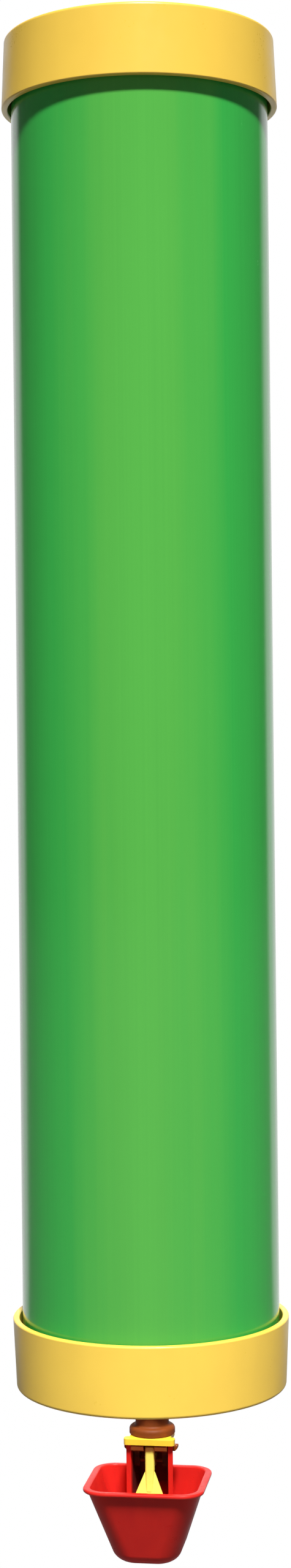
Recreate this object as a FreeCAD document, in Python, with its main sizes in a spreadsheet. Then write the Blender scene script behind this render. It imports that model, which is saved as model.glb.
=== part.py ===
import FreeCAD, Part
import math
import os

import Sketcher
from FreeCAD import Placement, Rotation, Vector

# Chick waterer: a hanging tube of water with push-on end caps and a small drinking cup below it.
# A chick pecks the yellow trigger in the cup's chimney, the trigger lifts the valve pin, and water runs in.
# The origin is on the tube's axis at the underside of the cup. The cup's window faces -Y. Millimetres.

SIZES = [
    # Tank
    ("tube_outer_dia", 110.0, "water tube, outside"),
    ("tube_wall", 3.0, "water tube, wall"),
    ("tube_length", 570.0, "water tube, cut length"),
    ("tube_end_chamfer", 0.8, "water tube, chamfer of the cut ends"),
    ("cap_height", 30.0, "end cap, over the closed end"),
    ("cap_floor", 3.0, "end cap, closed end"),
    ("cap_wall", 2.5, "end cap, skirt at the closed end"),
    ("cap_lip_wall", 2.7, "end cap, skirt at the mouth"),
    ("cap_seat_clearance", 0.3, "end cap, round the tube at the closed end"),
    ("cap_mouth_clearance", 1.4, "end cap, round the tube at the mouth"),
    ("cap_edge_radius", 1.5, "end cap, rounding of the closed end"),
    ("cap_lip_radius", 0.8, "end cap, rounding of the mouth"),
    ("vent_dia", 3.0, "air hole in the top cap"),
    # Inlet through the bottom cap
    ("neck_dia", 14.4, "valve body, threaded neck"),
    ("neck_bore_dia", 8.0, "valve body, bore of the neck"),
    ("neck_hole_clearance", 0.2, "bottom cap's hole and the nuts, round the neck"),
    ("neck_stick_out", 2.0, "neck, above the lock nut"),
    ("neck_exposed", 17.4, "neck, between the collar and the bottom cap"),
    ("neck_chamfer", 1.0, "neck, chamfer of its end"),
    ("washer_dia", 24.0, "rubber washer, outside"),
    ("washer_thickness", 1.5, "rubber washer"),
    ("nut_across_flats", 22.0, "nut on the neck"),
    ("nut_height", 6.0, "nut on the neck"),
    ("nut_chamfer", 1.2, "nut on the neck, chamfer of the corners"),
    ("strainer_flange_dia", 12.4, "strainer, flange on the neck"),
    ("strainer_flange_height", 1.2, "strainer, flange on the neck"),
    ("strainer_dome_dia", 9.0, "strainer, raised end"),
    ("strainer_dome_height", 4.0, "strainer, raised end"),
    ("strainer_roof", 1.2, "strainer, closed top of the raised end"),
    ("strainer_bore_dia", 5.0, "strainer, bore"),
    ("strainer_slot", 1.4, "strainer, width of the cross slots"),
    ("strainer_clearance", 0.05, "strainer, round its stem in the neck"),
    ("strainer_depth", 14.0, "strainer, below its flange"),
    # Valve body
    ("collar_dia", 19.6, "valve body, collar"),
    ("collar_height", 3.7, "valve body, collar"),
    ("collar_radius", 2.5, "valve body, rounding of the collar"),
    ("throat_dia", 13.8, "valve body, under the collar"),
    ("seat_bore_dia", 3.4, "valve body, bore below the seat"),
    ("seat_level", 5.0, "valve seat, above the block's underside"),
    ("block_height", 3.3, "valve body, block below the throat"),
    ("block_clearance", 0.2, "valve body, round the block in the chimney"),
    ("block_face_inset", 0.5, "valve body's face, behind the chimney's face"),
    ("notch_clearance", 0.4, "valve body's notch, beside the trigger"),
    ("notch_depth", 3.4, "valve body, notch for the trigger"),
    ("leg_thickness", 1.6, "valve body, spring leg at its back edge"),
    ("leg_length", 7.2, "valve body, leg below the block"),
    ("leg_width", 6.4, "valve body, leg from front to back"),
    ("lug_reach", 1.4, "snap lug, beyond the chimney"),
    ("lug_height", 2.0, "snap lug"),
    ("lug_ramp", 1.0, "snap lug, lead-in under its tip"),
    ("lug_width", 4.4, "snap lug, from front to back"),
    ("lug_rise", 1.8, "snap lug's top, above the block's underside"),
    ("lug_clearance", 0.3, "chimney's slot, round the lug"),
    # Retaining clip
    ("clip_thickness", 2.6, "retaining clip"),
    ("clip_width", 21.8, "retaining clip, head"),
    ("clip_head_depth", 6.4, "retaining clip, head from front to back"),
    ("clip_legs_width", 18.4, "retaining clip, over its legs"),
    ("clip_front", 11.0, "retaining clip's face, from the axis"),
    ("clip_back", 6.4, "retaining clip's legs, behind the axis"),
    ("clip_corner_radius", 1.6, "retaining clip, corners of the head"),
    ("clip_clearance", 0.1, "retaining clip, above, below and round the throat"),
    # Drinking cup
    ("rim_height", 33.5, "cup, rim above the base"),
    ("rim_thickness", 1.6, "cup, flange of the rim"),
    ("rim_overhang", 1.2, "cup, flange beyond the body"),
    ("rim_corner_radius", 9.5, "cup, corners of the rim"),
    ("rim_edge_radius", 0.6, "cup, rounding of the rim's edges"),
    ("body_width", 48.8, "cup's body under the rim, side to side"),
    ("body_front", 34.8, "cup's body under the rim, front face from the axis"),
    ("base_width", 26.0, "cup's base, side to side before rounding"),
    ("base_front", 25.0, "cup's base, front from the axis before rounding"),
    ("base_edge_radius", 5.0, "cup's base, rounding of the lower edge"),
    ("cup_wall", 1.5, "cup, wall"),
    ("cup_floor", 2.2, "cup, floor"),
    ("bowl_edge_radius", 3.4, "cup, rounding inside the floor"),
    ("chimney_width", 20.1, "chimney, side to side at its face"),
    ("chimney_taper", 8.7, "chimney, lean of each side toward the middle at the back, in degrees"),
    ("chimney_front", 8.7, "chimney's face, from the axis"),
    ("chimney_back", 7.2, "chimney's and cup's back, from the axis"),
    ("chimney_wall", 2.1, "chimney, side and back walls"),
    ("chimney_height", 46.6, "chimney's top, above the base"),
    ("chimney_corner_radius", 0.6, "chimney, upright outer corners"),
    # Trigger
    ("pivot_drop", 4.7, "hinge pin, below the block's underside"),
    ("pivot_offset", 3.0, "hinge pin, in front of the valve's axis"),
    ("pivot_dia", 1.8, "hinge pin"),
    ("pivot_hole_clearance", 0.01, "hinge pin in the legs"),
    ("hub_dia", 4.4, "trigger, hub round the hinge pin"),
    ("hub_clearance", 0.05, "trigger's hub on the hinge pin"),
    ("stem_width", 4.0, "trigger, upright stem"),
    ("stem_thickness", 2.3, "trigger, upright stem from front to back"),
    ("stem_proud", 0.3, "trigger's face, before the chimney's face"),
    ("stem_rise", 6.8, "trigger's top, above the hinge pin"),
    ("web_height", 3.4, "trigger, web between stem and hub"),
    ("flare_drop", 3.2, "trigger's flare, below the hinge pin"),
    ("paddle_length", 19.0, "trigger, flared paddle"),
    ("paddle_width", 13.2, "trigger, widest stretch of the paddle"),
    ("paddle_flare", 11.0, "trigger, length of the paddle's flare"),
    ("paddle_thickness", 1.5, "trigger, paddle"),
    ("paddle_lean", 17.0, "trigger, forward lean of the paddle in degrees"),
    ("paddle_corner_radius", 2.5, "trigger, lower corners of the paddle"),
    ("rib_length", 8.0, "trigger, stem's rib down the paddle"),
    ("rib_proud", 0.9, "trigger, stem's rib before the paddle"),
    ("stem_round", 1.2, "trigger, rounding of the stem's front"),
    ("heel_radius", 1.1, "trigger, pad under the valve pin"),
    ("heel_gap", 0.1, "trigger's pad, below the valve pin"),
    # Valve
    ("pin_dia", 2.4, "valve pin"),
    ("pin_tip", 1.8, "valve pin, below the block"),
    ("pin_head_dia", 5.2, "valve pin, head"),
    ("pin_head_height", 1.4, "valve pin, head"),
    ("seal_dia", 6.4, "valve seal, outside"),
    ("seal_thickness", 1.2, "valve seal"),
    ("spring_dia", 5.8, "valve spring, middle of the wire"),
    ("spring_wire_dia", 0.6, "valve spring, wire"),
    ("spring_turns", 5.0, "valve spring, turns"),
    ("spring_end_gap", 0.1, "valve spring, from its seats"),
    # Modelling
    ("cut_margin", 1.0, "cutting shapes, beyond the surface that they open"),
]

# Levels and places that follow from the sizes, as formulas on the sheet
# The formulas for half widths take the distance behind the tube's axis
HALF = "Sizes.%s / 2"
COLLAR_BASE = "Sizes.chimney_height + Sizes.clip_thickness + 2 * Sizes.clip_clearance"
COLLAR_TOP = COLLAR_BASE + " + Sizes.collar_height"
BOTTOM_CAP_BASE = COLLAR_TOP + " + Sizes.neck_exposed"
BOTTOM_CAP_FLOOR = BOTTOM_CAP_BASE + " + Sizes.cap_floor"
TUBE_TOP = BOTTOM_CAP_FLOOR + " + Sizes.tube_length"
TOP_CAP_TOP = TUBE_TOP + " + Sizes.cap_floor"
NECK_TOP = BOTTOM_CAP_FLOOR + " + Sizes.washer_thickness + Sizes.nut_height + Sizes.neck_stick_out"
BLOCK_TOP = "Sizes.chimney_height"
BLOCK_BASE = BLOCK_TOP + " - Sizes.block_height"
SEAT = BLOCK_BASE + " + Sizes.seat_level"
SEAL_TOP = SEAT + " + Sizes.seal_thickness"
PIN_TOP = SEAL_TOP + " + Sizes.pin_head_height"
PIN_BASE = BLOCK_BASE + " - Sizes.pin_tip"
STRAINER_BASE = NECK_TOP + " - Sizes.strainer_depth"
PIVOT = BLOCK_BASE + " - Sizes.pivot_drop"
LUG_TOP = BLOCK_BASE + " + Sizes.lug_rise"
CHIMNEY_HALF = "(Sizes.chimney_width / 2 - (Sizes.chimney_front + (%s)) * tan(Sizes.chimney_taper))"
BORE_HALF = "(" + CHIMNEY_HALF + " - Sizes.chimney_wall / cos(Sizes.chimney_taper))"
BLOCK_HALF = "(" + BORE_HALF + " - Sizes.block_clearance)"
STEM_FACE = "(Sizes.chimney_front + Sizes.stem_proud)"
ROUND_NECK = "Sizes.neck_dia / 2 + Sizes.neck_hole_clearance"

# Edges are picked within this distance of a level or size
NEAR = 1e-3

doc = FreeCAD.newDocument("chick_waterer")


def write_sheet():
    """Puts every driving size on the sheet, one row each: name, value and what it is."""
    sheet = doc.addObject("Spreadsheet::Sheet", "Sizes")
    for row, (name, value, meaning) in enumerate(SIZES, start=1):
        sheet.set("A%d" % row, name)
        sheet.set("B%d" % row, str(value))
        sheet.set("C%d" % row, meaning)
        sheet.setAlias("B%d" % row, name)
    doc.recompute()
    return sheet


sheet = write_sheet()


def size(formula):
    """The number that a formula on the sheet gives now."""
    return float(sheet.evalExpression(formula))


def new_body(label):
    body = doc.addObject("PartDesign::Body", label)
    body.Label = label
    body.Placement = Placement()
    return body


def new_sketch(body, name, plane, level=None):
    """Sketch on one of the body's own planes, moved along the plane's normal by the formula in level."""
    sketch = body.newObject("Sketcher::SketchObject", name)
    origin_plane = next(item for item in body.Origin.OriginFeatures if item.Role == plane)
    sketch.AttachmentSupport = [(origin_plane, "")]
    sketch.MapMode = "FlatFace"
    if level is not None:
        sketch.setExpression("AttachmentOffset.Base.z", level)
    return sketch


def pin_point(sketch, geometry, point, across, up):
    """Holds a point of the sketch at two formulas, measured from the sketch's origin."""
    for kind, formula in (("DistanceX", across), ("DistanceY", up)):
        index = sketch.addConstraint(Sketcher.Constraint(kind, -1, 1, geometry, point, size(formula)))
        sketch.setExpression("Constraints[%d]" % index, formula)


def draw_polygon(sketch, corners):
    """Closed outline of straight lines through corners, each a pair of formulas."""
    points = [Vector(size(across), size(up), 0) for across, up in corners]
    first = sketch.GeometryCount
    count = len(points)
    for index in range(count):
        sketch.addGeometry(Part.LineSegment(points[index], points[(index + 1) % count]), False)
    for index in range(count):
        following = first + (index + 1) % count
        sketch.addConstraint(Sketcher.Constraint("Coincident", first + index, 2, following, 1))
    for index, (across, up) in enumerate(corners):
        pin_point(sketch, first + index, 1, across, up)


def draw_rectangle(sketch, left, right, low, high):
    draw_polygon(sketch, [(left, low), (right, low), (right, high), (left, high)])


def draw_circle(sketch, radius, across="0", up="0"):
    centre = Vector(size(across), size(up), 0)
    index = sketch.addGeometry(Part.Circle(centre, Vector(0, 0, 1), size(radius)), False)
    constraint = sketch.addConstraint(Sketcher.Constraint("Radius", index, size(radius)))
    sketch.setExpression("Constraints[%d]" % constraint, radius)
    pin_point(sketch, index, 3, across, up)


def draw_rounded_rectangle(sketch, left, right, low, high, radius):
    """Rectangle with four equal round corners, its sides and radius given by formulas."""
    x_min, x_max, y_min, y_max, bend = (size(item) for item in (left, right, low, high, radius))
    centres = [(x_max - bend, y_min + bend), (x_max - bend, y_max - bend),
               (x_min + bend, y_max - bend), (x_min + bend, y_min + bend)]
    corners = []
    for turn, (across, up) in enumerate(centres):
        start = (turn - 1) * math.pi / 2
        corners.append((Vector(across, up, 0), start, start + math.pi / 2))
    ends = []
    for centre, start, end in corners:
        ends.append((centre + bend * Vector(math.cos(start), math.sin(start), 0),
                     centre + bend * Vector(math.cos(end), math.sin(end), 0)))
    for turn, (centre, start, end) in enumerate(corners):
        sketch.addGeometry(Part.LineSegment(ends[turn - 1][1], ends[turn][0]), False)
        circle = Part.Circle(centre, Vector(0, 0, 1), bend)
        sketch.addGeometry(Part.ArcOfCircle(circle, start, end), False)
    for index in range(8):
        sketch.addConstraint(Sketcher.Constraint("Tangent", index, 2, (index + 1) % 8, 1))
    for line, kind in ((0, "Horizontal"), (2, "Vertical"), (4, "Horizontal"), (6, "Vertical")):
        sketch.addConstraint(Sketcher.Constraint(kind, line))
    for arc in (3, 5, 7):
        sketch.addConstraint(Sketcher.Constraint("Equal", 1, arc))
    limits = ((0, "DistanceY", low), (2, "DistanceX", right), (4, "DistanceY", high), (6, "DistanceX", left))
    for line, kind, formula in limits:
        index = sketch.addConstraint(Sketcher.Constraint(kind, -1, 1, line, 1, size(formula)))
        sketch.setExpression("Constraints[%d]" % index, formula)
    index = sketch.addConstraint(Sketcher.Constraint("Radius", 1, bend))
    sketch.setExpression("Constraints[%d]" % index, radius)


def pad(body, sketch, name, length, reversed_side=False, symmetric=False):
    feature = body.newObject("PartDesign::Pad", name)
    feature.Profile = sketch
    feature.setExpression("Length", length)
    feature.Reversed = reversed_side
    if symmetric:
        feature.SideType = "Symmetric"
    doc.recompute()
    return feature


def pocket(body, sketch, name, length=None, reversed_side=False, symmetric=False):
    """Cuts the sketch out of the body, through all of it where no length is given."""
    before = body.Shape.Volume
    feature = body.newObject("PartDesign::Pocket", name)
    feature.Profile = sketch
    if length is None:
        feature.Type = "ThroughAll"
    else:
        feature.setExpression("Length", length)
    feature.Reversed = reversed_side
    if symmetric:
        feature.SideType = "Symmetric"
    doc.recompute()
    if not body.Shape.Volume < before:
        raise RuntimeError("%s cuts nothing from %s" % (name, body.Label))
    return feature


def revolve(body, sketch, name):
    feature = body.newObject("PartDesign::Revolution", name)
    feature.Profile = sketch
    feature.ReferenceAxis = (sketch, ["V_Axis"])
    feature.Angle = 360
    doc.recompute()
    return feature


def groove(body, sketch, name):
    before = body.Shape.Volume
    feature = body.newObject("PartDesign::Groove", name)
    feature.Profile = sketch
    feature.ReferenceAxis = (sketch, ["V_Axis"])
    feature.Angle = 360
    doc.recompute()
    if not body.Shape.Volume < before:
        raise RuntimeError("%s cuts nothing from %s" % (name, body.Label))
    return feature


def edges_where(feature, wanted):
    """Names of the feature's edges that the test in wanted picks."""
    return ["Edge%d" % number for number, edge in enumerate(feature.Shape.Edges, start=1) if wanted(edge)]


def dress(body, kind, name, base, wanted, measure, formula):
    """Fillet or chamfer on the picked edges of base, its measure bound to the formula."""
    names = edges_where(base, wanted)
    if not names:
        raise RuntimeError("%s finds no edge on %s" % (name, body.Label))
    feature = body.newObject("PartDesign::" + kind, name)
    feature.Base = (base, names)
    feature.setExpression(measure, formula)
    doc.recompute()
    return feature


def circle_at(radius, level):
    """Picks full circles about the vertical axis with this radius at this level."""
    def wanted(edge):
        box = edge.BoundBox
        flat = box.ZLength < NEAR
        return flat and abs(box.XLength / 2 - size(radius)) < NEAR and abs(box.ZMin - size(level)) < NEAR
    return wanted


def lies_at(level):
    """Picks edges that lie flat at this level."""
    def wanted(edge):
        box = edge.BoundBox
        return box.ZLength < NEAR and abs(box.ZMax - size(level)) < NEAR
    return wanted


def slanted(edge):
    """Picks edges that climb, upright or leaning."""
    return edge.BoundBox.ZLength > NEAR


# Tank

def make_tube():
    body = new_body("tube")
    sketch = new_sketch(body, "tube_section", "XY_Plane", BOTTOM_CAP_FLOOR)
    draw_circle(sketch, HALF % "tube_outer_dia")
    draw_circle(sketch, "Sizes.tube_outer_dia / 2 - Sizes.tube_wall")
    barrel = pad(body, sketch, "tube_barrel", "Sizes.tube_length")
    outer = HALF % "tube_outer_dia"

    def ends(edge):
        return circle_at(outer, BOTTOM_CAP_FLOOR)(edge) or circle_at(outer, TUBE_TOP)(edge)

    dress(body, "Chamfer", "tube_ends", barrel, ends, "Size", "Sizes.tube_end_chamfer")
    return body


def make_cap(label, closed_end, upward):
    """Push-on cap with a tapered skirt; upward is 1 where the mouth points up and -1 where it points down."""
    body = new_body(label)
    sketch = new_sketch(body, label + "_profile", "XZ_Plane")
    seat = "Sizes.tube_outer_dia / 2 + Sizes.cap_seat_clearance"
    mouth = "Sizes.tube_outer_dia / 2 + Sizes.cap_mouth_clearance"
    closed_outer = seat + " + Sizes.cap_wall"
    mouth_outer = mouth + " + Sizes.cap_lip_wall"
    inside = "%s + %d * Sizes.cap_floor" % (closed_end, upward)
    lip = "%s + %d * Sizes.cap_height" % (closed_end, upward)
    draw_polygon(sketch, [("0", closed_end), (closed_outer, closed_end), (mouth_outer, lip),
                          (mouth, lip), (seat, inside), ("0", inside)])
    shell = revolve(body, sketch, label + "_shell")
    edge = circle_at(closed_outer, closed_end)
    rounded = dress(body, "Fillet", label + "_edge", shell, edge, "Radius", "Sizes.cap_edge_radius")
    edge = circle_at(mouth_outer, lip)
    dress(body, "Fillet", label + "_lip", rounded, edge, "Radius", "Sizes.cap_lip_radius")
    return body


def make_top_cap():
    body = make_cap("top_cap", TOP_CAP_TOP, -1)
    sketch = new_sketch(body, "vent_circle", "XY_Plane", TOP_CAP_TOP)
    draw_circle(sketch, HALF % "vent_dia")
    pocket(body, sketch, "vent", "Sizes.cap_floor")
    return body


def make_bottom_cap():
    body = make_cap("bottom_cap", BOTTOM_CAP_BASE, 1)
    sketch = new_sketch(body, "neck_circle", "XY_Plane", BOTTOM_CAP_FLOOR)
    draw_circle(sketch, ROUND_NECK)
    pocket(body, sketch, "neck_hole", "Sizes.cap_floor")
    return body


# Inlet through the bottom cap

def make_washer(label, level):
    body = new_body(label)
    sketch = new_sketch(body, label + "_section", "XY_Plane", level)
    draw_circle(sketch, HALF % "washer_dia")
    draw_circle(sketch, ROUND_NECK)
    pad(body, sketch, label + "_ring", "Sizes.washer_thickness")
    return body


def make_nut(label, level):
    """Hexagon nut: the corners are turned off both ends, as on a moulded nut."""
    body = new_body(label)
    sketch = new_sketch(body, label + "_section", "XY_Plane", level)
    corner = "Sizes.nut_across_flats / 2 / cos(30)"
    corners = []
    for turn in range(0, 360, 60):
        corners.append(("%s * cos(%d)" % (corner, turn), "%s * sin(%d)" % (corner, turn)))
    draw_polygon(sketch, corners)
    draw_circle(sketch, ROUND_NECK)
    pad(body, sketch, label + "_hexagon", "Sizes.nut_height")
    top = level + " + Sizes.nut_height"
    flat = corner + " - Sizes.nut_chamfer"
    beyond = corner + " + Sizes.cut_margin"
    ends = new_sketch(body, label + "_corner_profile", "XZ_Plane")
    draw_polygon(ends, [(flat, level), (beyond, level), (beyond, level + " + Sizes.nut_chamfer")])
    draw_polygon(ends, [(flat, top), (beyond, top), (beyond, top + " - Sizes.nut_chamfer")])
    groove(body, ends, label + "_corners")
    return body


def make_strainer():
    """Plug in the neck's end: it keeps grit out and holds the valve spring down."""
    body = new_body("strainer")
    sketch = new_sketch(body, "strainer_profile", "XZ_Plane")
    bore = HALF % "strainer_bore_dia"
    stem = "Sizes.neck_bore_dia / 2 - Sizes.strainer_clearance"
    flange = HALF % "strainer_flange_dia"
    dome = HALF % "strainer_dome_dia"
    flange_top = NECK_TOP + " + Sizes.strainer_flange_height"
    dome_top = flange_top + " + Sizes.strainer_dome_height"
    roof = dome_top + " - Sizes.strainer_roof"
    draw_polygon(sketch, [(bore, STRAINER_BASE), (stem, STRAINER_BASE), (stem, NECK_TOP), (flange, NECK_TOP),
                          (flange, flange_top), (dome, flange_top), (dome, dome_top), ("0", dome_top),
                          ("0", roof), (bore, roof)])
    revolve(body, sketch, "strainer_turned")
    for plane, name in (("XZ_Plane", "side"), ("YZ_Plane", "front")):
        slot = new_sketch(body, "slot_" + name, plane)
        draw_rectangle(slot, "-Sizes.strainer_slot / 2", HALF % "strainer_slot", flange_top, roof)
        pocket(body, slot, "slot_cut_" + name, "Sizes.strainer_dome_dia * 2", symmetric=True)
    return body


# Valve body

def make_valve_body():
    """One moulding: neck, collar, throat, block with spring legs, snap lugs and the valve seat."""
    body = new_body("valve_body")
    profile = new_sketch(body, "neck_profile", "XZ_Plane")
    neck = HALF % "neck_dia"
    collar = HALF % "collar_dia"
    throat = HALF % "throat_dia"
    draw_polygon(profile, [("0", BLOCK_TOP), (throat, BLOCK_TOP), (throat, COLLAR_BASE),
                           (collar, COLLAR_BASE), (collar, COLLAR_TOP), (neck, COLLAR_TOP),
                           (neck, NECK_TOP), ("0", NECK_TOP)])
    turned = revolve(body, profile, "neck_and_collar")
    edge = circle_at(neck, NECK_TOP)
    chamfered = dress(body, "Chamfer", "neck_end", turned, edge, "Size", "Sizes.neck_chamfer")
    edge = circle_at(collar, COLLAR_TOP)
    dress(body, "Fillet", "collar_round", chamfered, edge, "Radius", "Sizes.collar_radius")

    block = new_sketch(body, "block_section", "XY_Plane", BLOCK_TOP)
    block_front = "-(Sizes.chimney_front - Sizes.block_face_inset)"
    back = "Sizes.chimney_back - Sizes.chimney_wall - Sizes.block_clearance"
    face_half = BLOCK_HALF % block_front
    back_half = BLOCK_HALF % back
    notch_half = "(Sizes.stem_width / 2 + Sizes.notch_clearance)"
    notch = block_front + " + Sizes.notch_depth"
    draw_polygon(block, [("-" + face_half, block_front), ("-" + notch_half, block_front),
                         ("-" + notch_half, notch), (notch_half, notch), (notch_half, block_front),
                         (face_half, block_front), (back_half, back), ("-" + back_half, back)])
    pad(body, block, "block", "Sizes.block_height", reversed_side=True)

    legs = new_sketch(body, "leg_sections", "XY_Plane", BLOCK_BASE)
    leg_front = "-Sizes.pivot_offset - Sizes.leg_width / 2"
    leg_back = "-Sizes.pivot_offset + Sizes.leg_width / 2"
    leg_inner = "(" + BLOCK_HALF % leg_back + " - Sizes.leg_thickness)"
    for side in ("", "-"):
        draw_polygon(legs, [(side + leg_inner, leg_front), (side + BLOCK_HALF % leg_front, leg_front),
                            (side + BLOCK_HALF % leg_back, leg_back), (side + leg_inner, leg_back)])
    pad(body, legs, "legs", "Sizes.leg_length", reversed_side=True)

    lugs = new_sketch(body, "lug_profiles", "XZ_Plane", "Sizes.pivot_offset - Sizes.lug_width / 2")
    lug_foot = LUG_TOP + " - Sizes.lug_height"
    tip = "Sizes.chimney_width / 2 + Sizes.lug_reach"
    root = leg_inner + " + Sizes.leg_thickness / 2"
    for side in ("", "-"):
        outer = "%s(%s)" % (side, tip)
        inner = "%s(%s)" % (side, root)
        ramp = "%s(%s - Sizes.lug_ramp)" % (side, tip)
        draw_polygon(lugs, [(inner, lug_foot), (ramp, lug_foot), (outer, lug_foot + " + Sizes.lug_ramp"),
                            (outer, LUG_TOP), (inner, LUG_TOP)])
    pad(body, lugs, "lugs", "Sizes.lug_width")

    pivot = new_sketch(body, "pivot_circle", "YZ_Plane")
    draw_circle(pivot, "Sizes.pivot_dia / 2 + Sizes.pivot_hole_clearance", "-Sizes.pivot_offset", PIVOT)
    pocket(body, pivot, "pivot_holes", "Sizes.chimney_width * 2", symmetric=True)

    bore = new_sketch(body, "bore_profile", "XZ_Plane")
    wide = HALF % "neck_bore_dia"
    narrow = HALF % "seat_bore_dia"
    draw_polygon(bore, [("0", BLOCK_BASE), (narrow, BLOCK_BASE), (narrow, SEAT), (wide, SEAT),
                        (wide, NECK_TOP), ("0", NECK_TOP)])
    groove(body, bore, "water_way")
    return body


def make_clip():
    """Fork that slides in from the front, between the collar and the chimney's top."""
    body = new_body("retaining_clip")
    level = BLOCK_TOP + " + Sizes.clip_clearance"
    head = new_sketch(body, "clip_head_outline", "XY_Plane", level)
    draw_rounded_rectangle(head, "-Sizes.clip_width / 2", HALF % "clip_width", "-Sizes.clip_front",
                           "-Sizes.clip_front + Sizes.clip_head_depth", "Sizes.clip_corner_radius")
    pad(body, head, "clip_head", "Sizes.clip_thickness")
    legs = new_sketch(body, "clip_legs_outline", "XY_Plane", level)
    draw_rectangle(legs, "-Sizes.clip_legs_width / 2", HALF % "clip_legs_width",
                   "-Sizes.clip_front + Sizes.clip_head_depth / 2", "Sizes.clip_back")
    pad(body, legs, "clip_legs", "Sizes.clip_thickness")
    slot = new_sketch(body, "clip_slot", "XY_Plane", level)
    half = "(Sizes.throat_dia / 2 + Sizes.clip_clearance)"
    draw_rectangle(slot, "-" + half, half, "0", "Sizes.clip_back + Sizes.cut_margin")
    pocket(body, slot, "clip_opening", "Sizes.clip_thickness", reversed_side=True)
    seat = new_sketch(body, "clip_seat", "XY_Plane", level)
    draw_circle(seat, half)
    pocket(body, seat, "clip_throat", "Sizes.clip_thickness", reversed_side=True)
    return body


# Drinking cup

def make_cup():
    """One moulding: tapered bowl with an overhanging rim and the chimney that carries the valve body."""
    body = new_body("drinker_cup")
    outer = tapered_block(body, "cup_body", "0", "Sizes.rim_height", "0")
    corners = dress(body, "Fillet", "body_corners", outer, slanted, "Radius",
                    "Sizes.rim_corner_radius - Sizes.rim_overhang")
    dress(body, "Fillet", "base_round", corners, lies_at("0"), "Radius", "Sizes.base_edge_radius")

    side = "(Sizes.body_width / 2 + Sizes.rim_overhang)"
    rim = new_sketch(body, "rim_outline", "XY_Plane", "Sizes.rim_height")
    draw_rounded_rectangle(rim, "-" + side, side, "-(Sizes.body_front + Sizes.rim_overhang)",
                           "Sizes.chimney_back + Sizes.rim_overhang", "Sizes.rim_corner_radius")
    pad(body, rim, "rim_flange", "Sizes.rim_thickness", reversed_side=True)

    hollow = make_bowl(body)
    flange_foot = size("Sizes.rim_height - Sizes.rim_thickness")

    def rim_edge(edge):
        box = edge.BoundBox
        if box.ZLength > NEAR:
            return False
        outside = max(abs(box.XMin), abs(box.XMax)) > size(HALF % "body_width") + NEAR
        outside = outside or box.YMin < -size("Sizes.body_front") - NEAR
        outside = outside or box.YMax > size("Sizes.chimney_back") + NEAR
        at_top = abs(box.ZMax - size("Sizes.rim_height")) < NEAR
        return at_top or (outside and abs(box.ZMax - flange_foot) < NEAR)

    dress(body, "Fillet", "rim_round", hollow, rim_edge, "Radius", "Sizes.rim_edge_radius")
    make_chimney(body)
    return body


def tapered_block(body, name, low, high, inset):
    """Wedge inside the cup's outline from level low to level high, its sides moved in by inset."""
    rise = "(%s) / Sizes.rim_height"
    half = "(Sizes.base_width / 2 + (Sizes.body_width - Sizes.base_width) / 2 * %s - %s)"
    front = "(Sizes.base_front + (Sizes.body_front - Sizes.base_front) * %s - %s)"
    block = body.newObject("PartDesign::AdditiveWedge", name)
    block.Placement = Placement(Vector(0, 0, 0), Rotation(Vector(1, 0, 0), 90))
    block.setExpression("Ymin", low)
    block.setExpression("Ymax", high)
    for level, second in ((low, ""), (high, "2")):
        block.setExpression("X%smin" % second, "-" + half % (rise % level, inset))
        block.setExpression("X%smax" % second, half % (rise % level, inset))
        block.setExpression("Z%smin" % second, "-(Sizes.chimney_back - %s)" % inset)
        block.setExpression("Z%smax" % second, front % (rise % level, inset))
    doc.recompute()
    return block


def make_bowl(body):
    """Hollows the cup with a second body of the bowl's form, rounded in its corners and over its floor."""
    form = new_body("bowl_form")
    block = tapered_block(form, "bowl_block", "Sizes.cup_floor", "Sizes.rim_height + Sizes.cut_margin",
                          "Sizes.cup_wall")
    corners = dress(form, "Fillet", "bowl_corners", block, slanted, "Radius",
                    "Sizes.rim_corner_radius - Sizes.rim_overhang - Sizes.cup_wall")
    dress(form, "Fillet", "bowl_round", corners, lies_at("Sizes.cup_floor"), "Radius",
          "Sizes.bowl_edge_radius")
    before = body.Shape.Volume
    hollow = body.newObject("PartDesign::Boolean", "bowl")
    hollow.setObjects([form])
    hollow.Type = "Cut"
    doc.recompute()
    if not body.Shape.Volume < before:
        raise RuntimeError("the bowl cuts nothing from the cup")
    return hollow


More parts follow.
